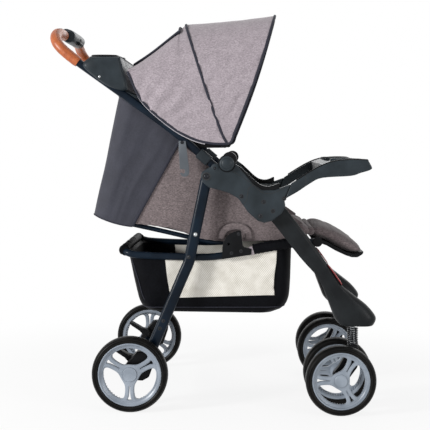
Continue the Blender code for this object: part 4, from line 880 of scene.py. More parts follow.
def caster(label, side):
    y = side * CASTER_Y
    stem = post("caster_pin", CASTER_X, y, mm((0, 135), (5, 135), (6, 136.5), (6, 282), (5, 283),
        (0, 283)), STEEL)
    high = HOOD_Z - FIT
    collar = post("caster_cup", CASTER_X, y, from_base(high, (6.2, 0), (14, 0), (14.5, -0.5),
        (14.5, -2), (14.1, -2.4), (6.2, -2.4)), BLACK, 40)
    settle(merged(f"caster_pin_and_cup_{label}", [stem, collar]), f"caster_{label}", STEEL,
        f"caster_stem_{label}")
    low = SPRING_SEAT_Z + FIT + 0.0014
    top = high - 0.0024 - FIT - 0.0014
    coil = grown(f"caster_coil_{label}", COILS, {"Turns": 9.0, "Radius": 0.0128, "Wire": 0.0014,
        "Height": top - low}, [(CASTER_X, y, low)])
    settle(coil, None, "black_steel", f"caster_spring_{label}")
    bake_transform(coil)
    outline = [(CASTER_X - 0.013, SPRING_SEAT_Z), (CASTER_X + 0.013, SPRING_SEAT_Z),
        (CASTER_X + 0.0155, 0.15), (CASTER_X + 0.0135, 0.112), (0.35, 0.085), (0.337, 0.073),
        (0.32, 0.07), (0.308, 0.079), (0.307, 0.094), (0.322, 0.113), (0.337, 0.14)]
    body = slab("caster_body", outline, y - 0.013, y + 0.013, BLACK, 0.0042, 4)
    body = carved(body, bore(CASTER_X, y, 0.0064, 0.118, 0.19))
    reach = CASTER_SPREAD - WHEEL_WIDTH / 2 - RUNNING
    hub = rod("caster_hub", FRONT_AXLE, 0.008, y - reach, y + reach, BLACK)
    boss = rod("caster_boss", FRONT_AXLE, 0.0135, y - 0.019, y + 0.019, BLACK, 40, 0.0015)
    tip = CASTER_SPREAD + WHEEL_WIDTH / 2 - 0.0125
    axle = rod("caster_axle", FRONT_AXLE, 0.005, y - tip, y + tip, STEEL)
    web = slab("caster_web", mm((331, 104), (352, 150), (362, 150), (354.5, 106), (343, 92)),
        y - 0.0142, y + 0.0142, BLACK, 0.001, 2)
    settle(merged(f"caster_fork_{label}", [body, hub, boss, axle, web]), f"fork_{label}", BLACK,
        f"caster_housing_{label}")


both(caster)


# Front legs

def leg_section(place, half_long, half_wide, side, soft):
    """A chamfered bar section that turns into a rounded one as soft goes to 1."""
    middle, lengthwise, across = place
    corners = [(-1.0, -0.55), (-0.8, -1.0), (0.82, -1.0), (1.0, -0.6), (1.0, 0.1), (0.7, 0.88),
        (0.6, 1.0), (-0.3, 1.0), (-0.42, 0.86), (-1.0, 0.2)]
    ring = []
    for p in curved(corners, 4, True):
        a, b = superellipse(atan2(p.z, p.x), 2.8)
        u = max(-1, min(1, p.x)) * (1 - soft) + a * soft
        v = max(-1, min(1, p.z)) * (1 - soft) + b * soft
        ring.append(middle + lengthwise * half_long * u + across * half_wide * v * side)
    return ring


def front_leg(label, side):
    sections = [((0.118, 0.511), (0.1575, 0.5399), FRONT_LEG_Y, 0.0125, 0.0),
        ((0.159, 0.464), (0.1956, 0.493), FRONT_LEG_Y, 0.0125, 0.0),
        ((0.22, 0.388), (0.2561, 0.415), FRONT_LEG_Y, 0.0125, 0.0),
        ((0.26, 0.344), (0.2985, 0.3565), 0.221, 0.0136, 0.1), ((0.278, 0.313), (0.325, 0.32),
        0.2195, 0.015, 0.35), ((0.29, 0.282), (0.354, 0.296), 0.214, 0.021, 0.7),
        ((0.302, 0.2515), (0.389, 0.269), 0.2105, 0.028, 0.95), ((0.31, 0.233), (0.412, 0.24),
        CASTER_Y, 0.032, 1.0), ((0.3215, 0.22), (0.406, 0.22), CASTER_Y, 0.0312, 1.0),
        ((0.326, HOOD_Z), (0.396, HOOD_Z), CASTER_Y, 0.027, 1.0)]
    rear, front = (curved([section[end] for section in sections], 5) for end in (0, 1))
    sizes = through([section[2:] for section in sections], 5)
    rings = []
    for back, ahead, (y, half, soft) in zip(rear, front, sizes):
        middle = (back + ahead) / 2
        lengthwise = (ahead - back) / 2
        place = (Vector((middle.x, side * y, middle.z)), lengthwise.normalized(),
            Vector((0, 1, 0)))
        rings.append(leg_section(place, lengthwise.length, half, side, min(max(soft, 0), 1)))
    leg = skinned("front_leg_moulding", rings, "leg_plastic", 30)
    boss_z = interpolate(RAIL_LINE, 0.236)
    boss = rod("boss", (0.236, boss_z), 0.0075, side * (RAIL_Y + RAIL_R + FIT),
        side * (FRONT_LEG_Y - 0.01), SLATE)
    leg = carved(leg, bore(CASTER_X, side * CASTER_Y, 0.0064, 0.2, 0.284))
    settle(merged(f"front_leg_cover_{label}", [leg, boss]), "frame", SLATE, f"front_leg_{label}")


def reflector(label, side):
    top = Vector((0.288, 0.3711))
    bottom = Vector((0.325, 0.32))
    along = (bottom - top).normalized()
    out = Vector((-along.y, along.x))
    out = out if out.x > 0 else -out
    outline = []
    for distance, lift in ((-0.001, 0.0), (0.064, 0.0), (0.06, 0.002), (0.052, 0.0032),
            (0.03, 0.0036), (0.01, 0.0032), (0.0015, 0.002)):
        corner = top + along * distance + out * lift
        outline.append((corner.x, corner.y))
    y = side * 0.2215
    made = slab(f"reflector_lens_{label}", outline, y - 0.0065, y + 0.0065, "red_lens", 0.0012, 3)
    settle(made, "frame", "red_lens", f"reflector_{label}")


both(front_leg, reflector)


# Armrest housings

HUB_OUTLINE = mm((-30, 590), (-27, 600), (-12, 610), (15, 623.5), (36, 626), (56, 622), (78, 597),
    (98, 574), (121.5, 557.5), (152, 557.5), (193, 572.5), (176.5, 536), (180, 517), (170, 499.5),
    (148, 482), (128, 476.5), (112, 481), (88, 502), (64, 535), (40, 549), (16, 556), (-10, 562),
    (-24, 574))
KNOB = (0.0345, 0.6215)
HUB_RIVETS = mm((-15.4, 589.9), (4.7, 609.7), (71.3, 541.3), (125.7, 528.3), (176.1, 537),
    (148.9, 506.1), (118.5, 493))
HUB_SEAM = mm((101.5, 570.1), (88.9, 560.6), (85.7, 543.6), (82.8, 530.8), (75.7, 520.1))
ARM_PAD = mm((54, 621), (70, 611), (88, 595), (104, 580), (120, 569.5), (138, 566.5), (152, 570),
    (163, 574.5), (164, 566), (163, 556), (140, 554.5), (121.5, 554.5), (98, 571), (78, 594),
    (56, 615))
# The line along which a thin dark tube paints the shadow under the housing's rounded top
TOP_SHADOW_LINE = mm((50, 602), (70, 590.5), (85, 580), (101.4, 569), (119, 553), (137, 549),
    (156, 553), (177.8, 564))


def armrest(label, side):
    cheek = mm((-27, 590), (-12, 607), (15, 620), (28, 612), (60, 590), (98, 570), (121.5, 554),
        (152, 554), (176, 536), (176, 517), (166, 502), (146, 486), (128, 480), (112, 485),
        (90, 504), (64, 537), (16, 559), (-18, 572))
    core = mm((100, 566.5), (121.5, 553.5), (152, 553.5), (176, 556), (174.5, 536), (176, 517),
        (166, 501.5), (146, 485.5), (128, 480), (112, 484.5), (100, 497))
    shell = slab("hub_shell", HUB_OUTLINE, side * SHELL_IN, side * SHELL_OUT, SLATE, 0.0052, 5)
    pieces = [shell, slab("hub_cheek", cheek, side * CHEEK_IN, side * CHEEK_OUT, SLATE, 0.0012, 2),
        slab("hub_core", core, side * (CHEEK_OUT - 0.002), side * (SHELL_IN + 0.002), SLATE,
        0.0015, 2)]
    # The adapter's barrel and its flat round knob
    barrel = lathe("adapter_barrel", [*from_base(SHELL_IN, (0, 0.4), (15.5, 0.4), (18, 3)),
        *from_base(SHELL_OUT, (18.2, -8), (16.8, -3), (14, -2), (0, -2))], (0.041, 0.632), side,
        BLACK, 64)
    knob = lathe("adapter_knob", from_base(SHELL_OUT, (0, -6), (17, -6), (18.3, 1), (18.5, 8.5),
        (18, 11.5), (16, 13.7), (13.8, 14.2), (13.2, 13.6), (12.6, 14.2), (8, 15.6), (3, 16.3),
        (0, 16.5)), KNOB, side, SLATE, 64)
    ring = lathe("adapter_collar", from_base(SHELL_OUT, (18.6, -4), (21.6, -4), (21.4, 1.2),
        (20.5, 2.2), (18.6, 2.2)), KNOB, side, BLACK, 64)
    pieces += [barrel, knob, ring]
    # The round boss under each pivot rivet
    for place, radius in ((LEG_PIVOT, 0.0125), (FOLD_PIVOT, 0.0095)):
        pieces.append(lathe("pivot_boss", [(0, SHELL_OUT - 0.002), (radius, SHELL_OUT - 0.002),
            (radius, SHELL_OUT + 0.0002), (radius - 0.0008, SHELL_OUT + 0.0008),
            (0, SHELL_OUT + 0.0008)], place, side, SLATE, 48))
    for place in (LEG_PIVOT, FOLD_PIVOT):
        pieces.append(rod("pivot_pin", place, 0.0035, side * (CHEEK_IN + 0.001),
            side * (SHELL_IN + 0.002), SLATE))
    whole = merged(f"armrest_moulding_{label}", pieces)
    settle(whole, "frame", SLATE, f"armrest_{label}")
    # The glossy black rest for the arm, set into the housing's top
    pad = [(p.x, p.z) for p in curved(ARM_PAD, 4, True)]
    settle(slab(f"arm_rest_{label}", pad, side * (SHELL_IN + 0.0015), side * (SHELL_OUT - 0.0045),
        BLACK, 0.004, 4), "frame", SLATE)
    # Parting lines and the shadow under the rounded top
    lines = [tube("hub_line", through(at_y(line, side * (SHELL_OUT - 0.0001)), 5), 0.0005, 0.0006,
        "seam", 8) for line in (HUB_SEAM, TOP_SHADOW_LINE)]
    settle(merged(f"hub_parting_{label}", lines), "frame", SLATE)


both(armrest)
rivets("hub_rivets", HUB_RIVETS[1:], SHELL_OUT + 0.0002, "frame", 0.004, height=0.0026)
rivets("pivot_rivets", [LEG_PIVOT], SHELL_OUT + 0.0008, "frame", 0.0074, height=0.0036)


# Seat rail, quarter plates, basket

def seat_rail():
    near = -0.228 + 0.03
    knots = [(0.2705, -RAIL_Y, 0.426)]
    knots += [(x, -RAIL_Y, z) for x, z in reversed(RAIL_LINE[2:])]
    knots += [(near - 0.014, -RAIL_Y + 0.002, 0.39), (near - 0.023, -RAIL_Y + 0.009, 0.3935),
        (near - 0.028, -RAIL_Y + 0.02, 0.3965), (-0.228, -RAIL_Y + 0.034, 0.398)]
    knots += mirrored(knots)
    pieces = [tube("rail_tube", through(knots, 4), RAIL_R, RAIL_R, NAVY, 28, dome=0.002),
        rod("rail_cross", (0.228, 0.4245), 0.008, -RAIL_Y, RAIL_Y, NAVY)]
    for _, side in SIDES:
        stop = (-0.0585, interpolate(RAIL_LINE, -0.0585))
        pieces.append(rod("rail_spacer", stop, 0.007, side * (RAIL_Y + 0.004),
            side * (BAR_Y - 0.009 - RUNNING), NAVY))
    settle(merged("seat_rail_tube", pieces), "frame", NAVY, "seat_rail")
    # Black cloth sleeves that hang the seat on the rail, with a taupe loop behind them
    for label, side in SIDES:
        line = [(x, side * RAIL_Y, interpolate(RAIL_LINE, x)) for x in (0.102, 0.12, 0.14, 0.16,
            0.18, 0.2, 0.224)]
        rings = []
        for index, place in enumerate(frames_along(through(line, 6))):
            swell = 0.0103 + 0.0006 * sin(index * 1.9)
            place = (place[0] + Vector((0, 0, 0.003)), *place[1:])
            rings.append(ring_at(place, min(swell, 0.0105), swell + 0.003, 24))
        settle(skinned(f"rail_cover_{label}", rings, COATED, 50), "frame", COATED)


def rail_loop(label, side):
    """A taupe strap tied round the rail, just ahead of the quarter plate."""
    top = Vector((0.0985, side * RAIL_Y, interpolate(RAIL_LINE, 0.0985)))
    lean = Vector((-0.35, 0, 1.0)).normalized()
    rings = []
    for step in range(40):
        angle = tau * step / 40
        out = Vector((0, side * cos(angle), 0)) + lean * sin(angle)
        middle = top + out * 0.0106
        along = Vector((1, 0, 0.1))
        along = (along - lean * along.dot(lean)).normalized()
        rings.append([middle + along * a * 0.0042 + out * b * 0.0006 for a,
            b in ((-1, -1), (1, -1), (1, 1), (-1, 1))])
    settle(skinned(f"rail_strap_{label}", rings, TAUPE, 50, looped=True), "frame", TAUPE)


def quarter_plate(label, side):
    outline = mm((24.5, 379.5), (24.2, 408), (26, 419), (30, 430), (35, 437.5), (41.5, 443),
        (48.5, 447.5), (56, 450.2), (64, 452), (70, 452), (71.5, 449), (75.5, 416), (79, 411),
        (98, 407), (98, 392))
    low = side * (RAIL_Y + RAIL_R + RUNNING)
    made = slab(f"quarter_plate_{label}", outline, low, low + side * 0.004, BLACK, 0.001, 3)
    settle(made, "frame", BLACK, f"seat_bracket_{label}")


seat_rail()
both(rail_loop, quarter_plate)
rivets("plate_rivets", mm((65, 444), (47.5, 395.4), (71.3, 400.9)),
    RAIL_Y + RAIL_R + RUNNING + 0.0042, "frame", 0.0032, height=0.0022)

FLOOR_Z = 0.239
LEFT_EDGE = mm((245, -105), (274.5, -108.1), (331, -117.5), (376.7, -122.3))
RIGHT_EDGE = mm((245, 159), (286.3, 159.6), (316.7, 157.1), (373.4, 163), (401.8, 171.4))


def basket():
    """A black tub hung on the rail, with a cream mesh window in each side."""
    front_x = [(0.0, 0.156), (0.05, 0.176), (0.14, 0.19), (0.3, 0.197), (1.0, 0.2)]
    rear_x = [(0.0, -0.166), (0.1, -0.184), (0.35, -0.196), (1.0, -0.216)]
    half_y = [(0.0, 0.172), (0.1, 0.183), (0.35, 0.189), (1.0, 0.1955)]
    corner = 0.04
    mesh_rows = 14
    plain_rows = 6

    def rim_at(x):
        return interpolate(RAIL_LINE, x) - 0.004

    def place(kind, share, z_share, wall):
        """kind picks a stretch of the plan; the rows bend to the window's sill."""
        guess = {"window": -0.11 + 0.27 * share, "front": 0.19, "rear": -0.19, "behind": -0.15,
            "ahead": 0.17}[kind]
        sill = 0.2745 + (guess + 0.108) * 0.0118 / 0.268
        rim = rim_at(guess)
        if z_share <= 1:
            z = FLOOR_Z + (sill - FLOOR_Z) * z_share
        else:
            z = sill + (rim - sill) * (z_share - 1)
        level = (z - FLOOR_Z) / (rim - FLOOR_Z)
        front = eased(front_x, level) - wall
        rear = eased(rear_x, level) + wall
        half = eased(half_y, level) - wall
        left = eased(LEFT_EDGE, z)
        right = min(eased(RIGHT_EDGE, z), front - corner + 0.004)
        if kind == "window":
            x = left + (right - left) * share
            sag = 0.0022 * sin(pi * share) * sin(pi * min(level, 1))
            y = half - sag
        elif kind == "behind":
            x = rear + corner + (left - rear - corner) * share
            y = half - 0.0012 * sin(pi * share) * sin(3 * pi * level)
        elif kind == "ahead":
            x = right + (front - corner - right) * share
            y = half
        else:
            early, late = (corner * (1 - part(pi / 2 * share)) for part in (sin, cos))
            x, y = (front - early, half - late) if kind == "front" else (rear + late, half - early)
        if kind != "window":
            wave = 0.0011 * sin(9 * level + 5 * share) * sin(pi * min(level, 1))
            y -= abs(wave)
        return x, y, z

    stretches = [("rear", 8), ("behind", 6), ("window", 30), ("ahead", 3), ("front", 8)]
    plan = []
    for kind, count in stretches:
        plan += [(kind, step / count) for step in range(count)]
    plan.append(("front", 1.0))
    levels = [step / plain_rows for step in range(plain_rows)]
    levels += [1 + step / mesh_rows for step in range(mesh_rows + 1)]

    def loop(z_share, wall):
        half = [place(kind, share, z_share, wall) for kind, share in plan]
        if z_share == 0:
            half = [(x, y, z + wall) for x, y, z in half]
        return half + mirrored(half)

    # The rims differ by stretch, so the top row is set to the rail's own line
    outside = [loop(z_share, 0.0) for z_share in levels]
    inside = [loop(z_share, 0.0016) for z_share in reversed(levels)]
    count = len(outside[0])
    windows = [index for index, (kind, _) in enumerate(plan) if kind == "window"]
    netted = {*windows, *(count - 2 - index for index in windows)}
    points, faces = skin([*outside, *inside])
    upwards = range(len(levels) - 1)
    picks = [int(step in netted and row >= plain_rows) for row in (*upwards, -1,
        *reversed(upwards)) for step in range(count)]
    picks += [0, 0]
    made = shape("basket_tub", points, faces, (COATED, "mesh_cloth"), 60, picks)
    settle(made, "frame", COATED, "basket")
    # Piped seams: round the bottom, up the rear corners, and tape round the windows
    seams = []
    for _, side in SIDES:
        rear = mm((375.7, -207.3), (347.6, -199), (313, -188), (278.2, -178), (246, -160))
        bend = []
        for z, x in rear:
            level = (z - FLOOR_Z) / (rim_at(-0.19) - FLOOR_Z)
            half = eased(half_y, level)
            back = eased(rear_x, level)
            across = corner - (x - back)
            drop = corner - sqrt(max(corner ** 2 - max(across, 0) ** 2, 0))
            bend.append((x, side * (half - drop + 0.0004), z))
        seams.append(tube("seam", through(bend, 5), 0.0011, 0.0011, "binding", 10))
        sill = []
        for step in range(15):
            x, y, z = place("window", step / 15, 1.0, 0.0)
            sill.append((x, side * (y + 0.0003), z))
        post_left = [place("window", 0.0, 1 + t / 6, 0.0) for t in range(7)]
        post_right = [place("window", 0.999, 1 + t / 6, 0.0) for t in range(7)]
        edge = ([(x, side * (y + 0.0003), z) for x, y, z in reversed(post_left)] + sill[1:] + [(x,
            side * (y + 0.0003), z) for x, y, z in post_right])
        seams.append(tube("seam", edge, 0.0005, 0.0013, COATED, 10, side=(0, 1, 0)))
    base = loop(0.35, 0.0)
    base = [(x * 1.001, y + copysign(0.0004, y), z) for x, y, z in base]
    rings = [ring_at(place_, 0.001, 0.001, 8) for place_ in frames_along(base, (0, 0, 1))]
    seams.append(skinned("seam", rings, "binding", 60, looped=True))
    settle(merged("basket_piping", seams), "frame", COATED)
    # The hem that is gathered over the rail's rear tube, and the cloth that hangs from it
    knots = mm((-221.5, -188.5, 393.7), (-226.2, -178, 396.5), (-228, -164, 398))
    knots += mirrored(knots)
    rings = []
    for index, place_ in enumerate(frames_along(through(knots, 40))):
        gather = 0.0107 + 0.0007 * sin(index * 1.7) + 0.0006 * sin(index * 0.61)
        rings.append(ring_at(place_, gather, gather, 24))
    hem = skinned("basket_hem", rings, COATED, 60)
    grid = []
    for step in range(81):
        y = -0.189 + 0.378 * step / 80
        over = max(0.0, abs(y) - (0.1955 - corner))
        rim = -0.216 + corner - sqrt(max(corner ** 2 - over ** 2, 0))
        tube_x = -0.228 + 0.0075 * max(0.0, (abs(y) - 0.165) / 0.024) ** 2
        wave = 0.001 * sin(step * 1.7)
        row = []
        for share in (0.0, 0.25, 0.5, 0.75, 1.0):
            x = tube_x + (rim - tube_x) * share + wave
            z = 0.396 - (0.396 - 0.3815) * share
            row.append((Vector((x, y, z)), Vector((x + 0.0012, y, z))))
        grid.append(row)
    skirt = sheet("basket_skirt", grid, COATED, sharp=60)
    settle(merged("basket_gathers", [hem, skirt]), "frame", COATED)


basket()


# Rear legs, axle and brake pedals

def leg_path(side):
    pivot = Vector((LEG_PIVOT[0], side * BAR_Y, LEG_PIVOT[1]))
    bend = Vector((LEG_BEND[0], side * BAR_Y, LEG_BEND[1]))
    foot = Vector((LEG_FOOT[0], side * BAR_Y, LEG_FOOT[1]))
    top = pivot + (pivot - bend).normalized() * 0.008
    knots = [top, pivot.lerp(bend, 0.45), pivot.lerp(bend, 0.85), bend, bend.lerp(foot, 0.15),
        bend.lerp(foot, 0.6), foot]
    return through(knots, 5)


def rear_leg(label, side):
    leg = tube(f"leg_tube_{label}", leg_path(side), 0.009, 0.014, NAVY, 32, 2.4, dome=0.001)
    pin = rod("hole", LEG_PIVOT, 0.0039, side * (BAR_Y - 0.02), side * (BAR_Y + 0.02), NAVY)
    settle(carved(leg, pin), "rear_legs", NAVY, f"rear_leg_{label}")


def rear_axle():
    outline = mm((-221, 86), (-222, 104), (-208, 122), (-186, 147), (-141, 150), (-144, 118),
        (-156, 82), (-172, 73), (-207, 74))
    span = BLOCK_Y[0] + 0.002
    pieces = [rod("axle_tube", REAR_AXLE, 0.008, -span, span, NAVY, 40)]
    hub_face = HALF_TRACK - WHEEL_WIDTH / 2 - RUNNING
    for label, side in SIDES:
        block = slab("axle_block", outline, side * BLOCK_Y[0], side * BLOCK_Y[1], BLACK, 0.0032, 4)
        path = leg_path(side)
        path[-1] += (path[-1] - path[-2]).normalized() * FIT
        socket = tube("socket", path, 0.009 + FIT, 0.014 + FIT, BLACK, 32, 2.4)
        block = carved(block, socket)
        pieces += [block, rod("axle_shoulder", REAR_AXLE, 0.008, side * (BLOCK_Y[1] - 0.004),
            side * hub_face, BLACK), rod("axle_flange", REAR_AXLE, 0.0135,
            side * (BLOCK_Y[1] - 0.002), side * (BLOCK_Y[1] + 0.0018), BLACK, 48),
            rod("axle_spindle", REAR_AXLE, 0.005, side * (BLOCK_Y[1] - 0.003),
            side * (HALF_TRACK + WHEEL_WIDTH / 2 - 0.0125), STEEL)]
    settle(merged("axle_and_sockets", pieces), "rear_legs", NAVY, "rear_axle")


def brake_pedal(label, side):
    outline = mm((-194, 113), (-192.5, 122), (-199, 128), (-214, 131), (-240, 146), (-250, 150),
        (-253, 145), (-243, 137), (-222, 123.5), (-212, 112), (-201, 109.5))
    pedal = slab("pedal", outline, side * 0.176, side * 0.206, BLACK, 0.0022, 4)
    pin = rod("pedal_pin", (-0.2015, 0.1195), 0.0035, side * 0.202, side * 0.2145, STEEL)
    places = []
    for step in range(5):
        share = 0.3 + 0.14 * step
        places.append((-0.214 - 0.036 * share, side * 0.191, 0.131 + 0.019 * share))
    ribs = grown("pedal_ribs", GRIP_RIBS, {"Length": 0.022, "Width": 0.0014, "Height": 0.0014},
        places, normals=[(0, 1, 0)] * len(places))
    settle(merged(f"pedal_moulding_{label}", [pedal, pin, ribs]), f"pedal_{label}", BLACK,
        f"brake_pedal_{label}")


both(rear_leg, brake_pedal)
rear_axle()
rivets("leg_rivets", mm((-59.2, 386.1), (-121.8, 224.5), (-130.1, 205.1)), BAR_Y + 0.009,
    "rear_legs", 0.0036, height=0.0022)
rivets("leg_stop_rivets", [(-0.0427, 0.4434)], BAR_Y + 0.0092, "rear_legs", 0.0046, True, 0.0024)


# Push bar, grips, release housing

def bar_path():
    along = (cos(BAR_ANGLE), sin(BAR_ANGLE))
    knots = [(FOLD_PIVOT[0] + along[0] * distance, -BAR_Y, FOLD_PIVOT[1] + along[1] * distance) for
        distance in (-0.008, 0.045, 0.095, 0.138)]
    bends = mm((-170, 0, 750.8), (-240, 0, 799), (-338, 0, 867.5), (-362, 0, 886),
        (-379, 1, 900.5), (-390, 6, 912.5), (-397, 16, 924), (-400, 30, 934), (-400, 48, 941.2),
        (-398.5, 68, 944.8), (-397, 92, 946))
    knots += [(x, -BAR_Y + inwards, z) for x, inwards, z in bends]
    return knots + [(HANDLE[0], -HOUSING_SPAN - 0.005, HANDLE[1])]


RIGHT_BAR = bar_path()
WHOLE_BAR = RIGHT_BAR + mirrored(RIGHT_BAR)


def push_bar():
    bar = tube("bar_tube", through(WHOLE_BAR, 5), BAR_R, BAR_R, NAVY, 28, dome=0.0015)
    pin = rod("hole", FOLD_PIVOT, 0.0039, -0.26, 0.26, NAVY)
    settle(carved(bar, pin), "handle", NAVY, "push_bar")


def grip(label, side):
    """Leather sewn round the bar, with its seam underneath."""
    knots = [(x, y if side < 0 else -y, z) for x, y, z in RIGHT_BAR[6:16]]
    path = through(knots, 8)
    frames = frames_along(path)
    rings = []
    count = len(frames)
    radius = 0.0135
    for index, place in enumerate(frames):
        near_end = min(index, count - 1 - index)
        swell = radius + 0.0003 * noise.noise(Vector((index * 0.35, side, 0)))
        swell -= 0.0012 * max(0, 1 - near_end / 2.0)
        rings.append(ring_at(place, swell, swell, 36))
    inner = [ring_at(place, BAR_R + FIT, BAR_R + FIT, 36) for place in reversed(frames)]
    leather = skinned("grip_leather", [*rings, *inner], "tan_leather", 45, looped=True)
    seam = []
    for place in frames[1:-1]:
        point, across, up = place
        out = (across * side * 0.72 - up * 0.69).normalized()
        seam.append(point + out * (radius + 0.0001))
    groove = tube("grip_seam", seam, 0.0004, 0.0006, "thread", 8)
    threads = stitches("grip_stitch", [p + Vector((0, 0, -0.0002)) for p in seam], None,
        SEAM_STITCHES, "tan_leather", 0.004, 0.0006)
    settle(merged(f"grip_cover_{label}", [leather, groove, threads]), "handle", "tan_leather",
        f"grip_{label}")


ALONG = Vector((0.894, 0, -0.447)).normalized()
ACROSS = Vector((-ALONG.z, 0, ALONG.x))


def lane(start, end, half, lift=0.0):
    """A strip beside the housing's middle, from one distance along it to another."""
    centre = Vector((HANDLE[0], 0, HANDLE[1]))
    corners = []
    for distance, step in ((start, -1), (end, -1), (end, 1), (start, 1)):
        corner = centre + ALONG * distance + ACROSS * (lift + step * half)
        corners.append((corner.x, corner.z))
    return corners


def release_housing():
    rings = []
    stations = through([(-HOUSING_SPAN, 0.6, 0), (-0.0835, 0.66, 0), (-0.07, 0.84, 0),
        (-0.045, 0.97, 0), (0.0, 1.0, 0), (0.045, 0.97, 0), (0.07, 0.84, 0), (0.0835, 0.66, 0),
        (HOUSING_SPAN, 0.6, 0)], 5)
    for station in stations:
        y, share = station.x, station.y
        place = (Vector((-0.3895, y, 0.9475)), ALONG, ACROSS)
        rings.append(ring_at(place, 0.014 + 0.008 * share, 0.014 + 0.0035 * share, 36, 2.5))
    body = skinned("release_body", rings, SLATE, 40)
    slot = slab("slot", lane(0.013, 0.05, 0.005), -0.0305, 0.0305, SLATE)
    well = slab("well", lane(0.0195, 0.05, 0.004, 0.0105), -0.0075, 0.0135, SLATE)
    body = carved(body, slot, well)
    line = through([ring[9] for ring in rings[4:-4]], 1)
    parting = tube("release_line", line, 0.0004, 0.0005, "seam", 8, side=(1, 0, 0))
    settle(merged("release_moulding", [body, parting]), "handle", SLATE, "release_housing")
    trigger = slab("trigger_bar", lane(0.0215, 0.0335, 0.0045), -0.03, 0.03, BLACK, 0.0016, 4)
    places = [(x, y, z) for y in [step * 0.0052 - 0.026 for step in range(11)] for x,
        z in [lane(0.0337, 0.0337, 0.0)[0]]]
    along_z = [(ACROSS.x, 0, ACROSS.z)] * len(places)
    ribs = grown("trigger_ribs", GRIP_RIBS, {"Length": 0.006, "Width": 0.0012, "Height": 0.0012},
        places, normals=along_z)
    settle(merged("trigger_moulding", [trigger, ribs]), "trigger", BLACK, "release_trigger")
    button = slab("lock_slide", lane(0.02, 0.0285, 0.0035, 0.0105), -0.007, 0.007, BLACK, 0.0012,
        3)
    settle(button, "lock", BLACK, "lock_button")


push_bar()
both(grip)
release_housing()


# Console, hook, latch sleeves, canopy clips

CONSOLE_OUTLINE = mm((-328.5, 860), (-311, 880), (-299.5, 883.5), (-238, 883.5), (-232.5, 878),
    (-223, 843), (-216, 819), (-214, 804), (-219, 798.5), (-233.5, 797.5), (-264, 808.5),
    (-299, 832))


def console():
    centre = Vector((-0.268, 0.845))
    outline = curved(CONSOLE_OUTLINE, 5, True)
    half = 0.243
    rings = []
    profile = [(0.0, 0.8), (0.0022, 0.885), (0.006, 0.945), (0.012, 0.98), (0.022, 0.997),
        (0.04, 1.0)]
    stations = [(-half + d, s) for d, s in profile] + [(half - d, s) for d, s in reversed(profile)]
    for y, share in stations:
        ring = []
        for p in outline:
            ring.append((centre.x + (p.x - centre.x) * share, y, centre.y + (p.z - centre.y) *
                share))
        rings.append(ring)
    body = skinned("console_body", rings, SLATE, 45)
    under = mm((-330, 842), (-299, 840), (-240, 840), (-225, 825), (-220, 790), (-330, 790))
    tools = [slab("under", under, -0.2, 0.2, SLATE)]
    cup_y = 0.125
    for _, side in SIDES:
        tools.append(post("cup", -0.269, side * cup_y, mm((0, 845), (28, 845), (32, 849),
            (32, 900), (0, 900)), SLATE, 64))
    pocket = slab("pocket", box(-0.3, 0.845, -0.242, 0.9), -0.06, 0.06, SLATE)
    tools.append(pocket)
    for sign in (-1, 1):
        knots = [(x, y if sign < 0 else -y, z) for x, y, z in RIGHT_BAR[3:8]]
        tools.append(tube("channel", through(knots, 5), BAR_R + FIT, BAR_R + FIT, SLATE, 28))
    body = carved(body, *tools)
    pieces = [body]
    for _, side in SIDES:
        pieces.append(post("cup_rim", -0.269, side * cup_y, mm((32, 880.5), (32, 886.2),
            (33.2, 887.8), (35.2, 887.8), (36.6, 886), (36.8, 880.5)), BLACK, 64))
    settle(merged("console_moulding", pieces), "handle", SLATE, "parent_console")
    # Raised dark lip round the whole tray
    lip = through(mm((-306, -215, 883.6), (-308.5, -120, 883.6), (-308.5, 120, 883.6),
        (-306, 215, 883.6), (-290, 233.5, 884), (-252, 233.5, 884), (-239.5, 215, 883.6),
        (-237.5, 120, 883.6), (-237.5, -120, 883.6), (-239.5, -215, 883.6), (-252, -233.5, 884),
        (-290, -233.5, 884)), 6, True)
    rings = [ring_at(place, 0.0026, 0.0018, 12) for place in frames_along(lip, (0, 0, 1))]
    settle(skinned("console_lip", rings, BLACK, 50, looped=True), "handle", BLACK)


def storage_hook():
    outline = mm((-86, 676), (-69, 676), (-64, 640), (-60.5, 615.5))
    centre = (-0.0705, 0.5985)
    for step in range(13):
        angle = radians(-5 - 14 * step)
        outline.append((centre[0] + 0.0115 * cos(angle), centre[1] + 0.0115 * sin(angle)))
    outline += mm((-76.5, 596.5), (-73.5, 594.5), (-70.8, 596.5), (-69.5, 600.5), (-70.6, 604.5),
        (-73.5, 606.5), (-78, 605.8), (-82.5, 605.5), (-84, 625), (-86, 650))
    made = slab("hook_strap", outline, -0.2357, -0.2397, "grey_plastic", 0.0009, 3)
    settle(made, "hook", "grey_plastic", "storage_hook")
    pin = rod("hook_pin", (-0.0775, 0.672), 0.0042, -0.2392, -0.2412, "black_steel", 32, 0.0008)
    settle(pin, "hook", "black_steel")


def latch_sleeve(label, side):
    along = Vector((cos(BAR_ANGLE), 0, sin(BAR_ANGLE)))
    pivot = Vector((FOLD_PIVOT[0], side * BAR_Y, FOLD_PIVOT[1]))
    start = pivot + along * 0.022
    path = [start + along * (0.033 * step / 10) for step in range(11)]
    rings = []
    for index, place in enumerate(frames_along(path)):
        grip_in = 0.0004 if index in (2, 4, 6, 8) else 0.0
        rings.append(ring_at(place, 0.0122, 0.014 - grip_in, 32, 2.6))
    inner = [ring_at(place, BAR_R + FIT, BAR_R + FIT, 32) for place in
        reversed(frames_along(path))]
    made = rounded(skinned(f"latch_ring_{label}", [*rings, *inner], SLATE, looped=True), 0.0008, 2,
        60)
    settle(made, f"latch_{label}", SLATE, f"latch_sleeve_{label}")


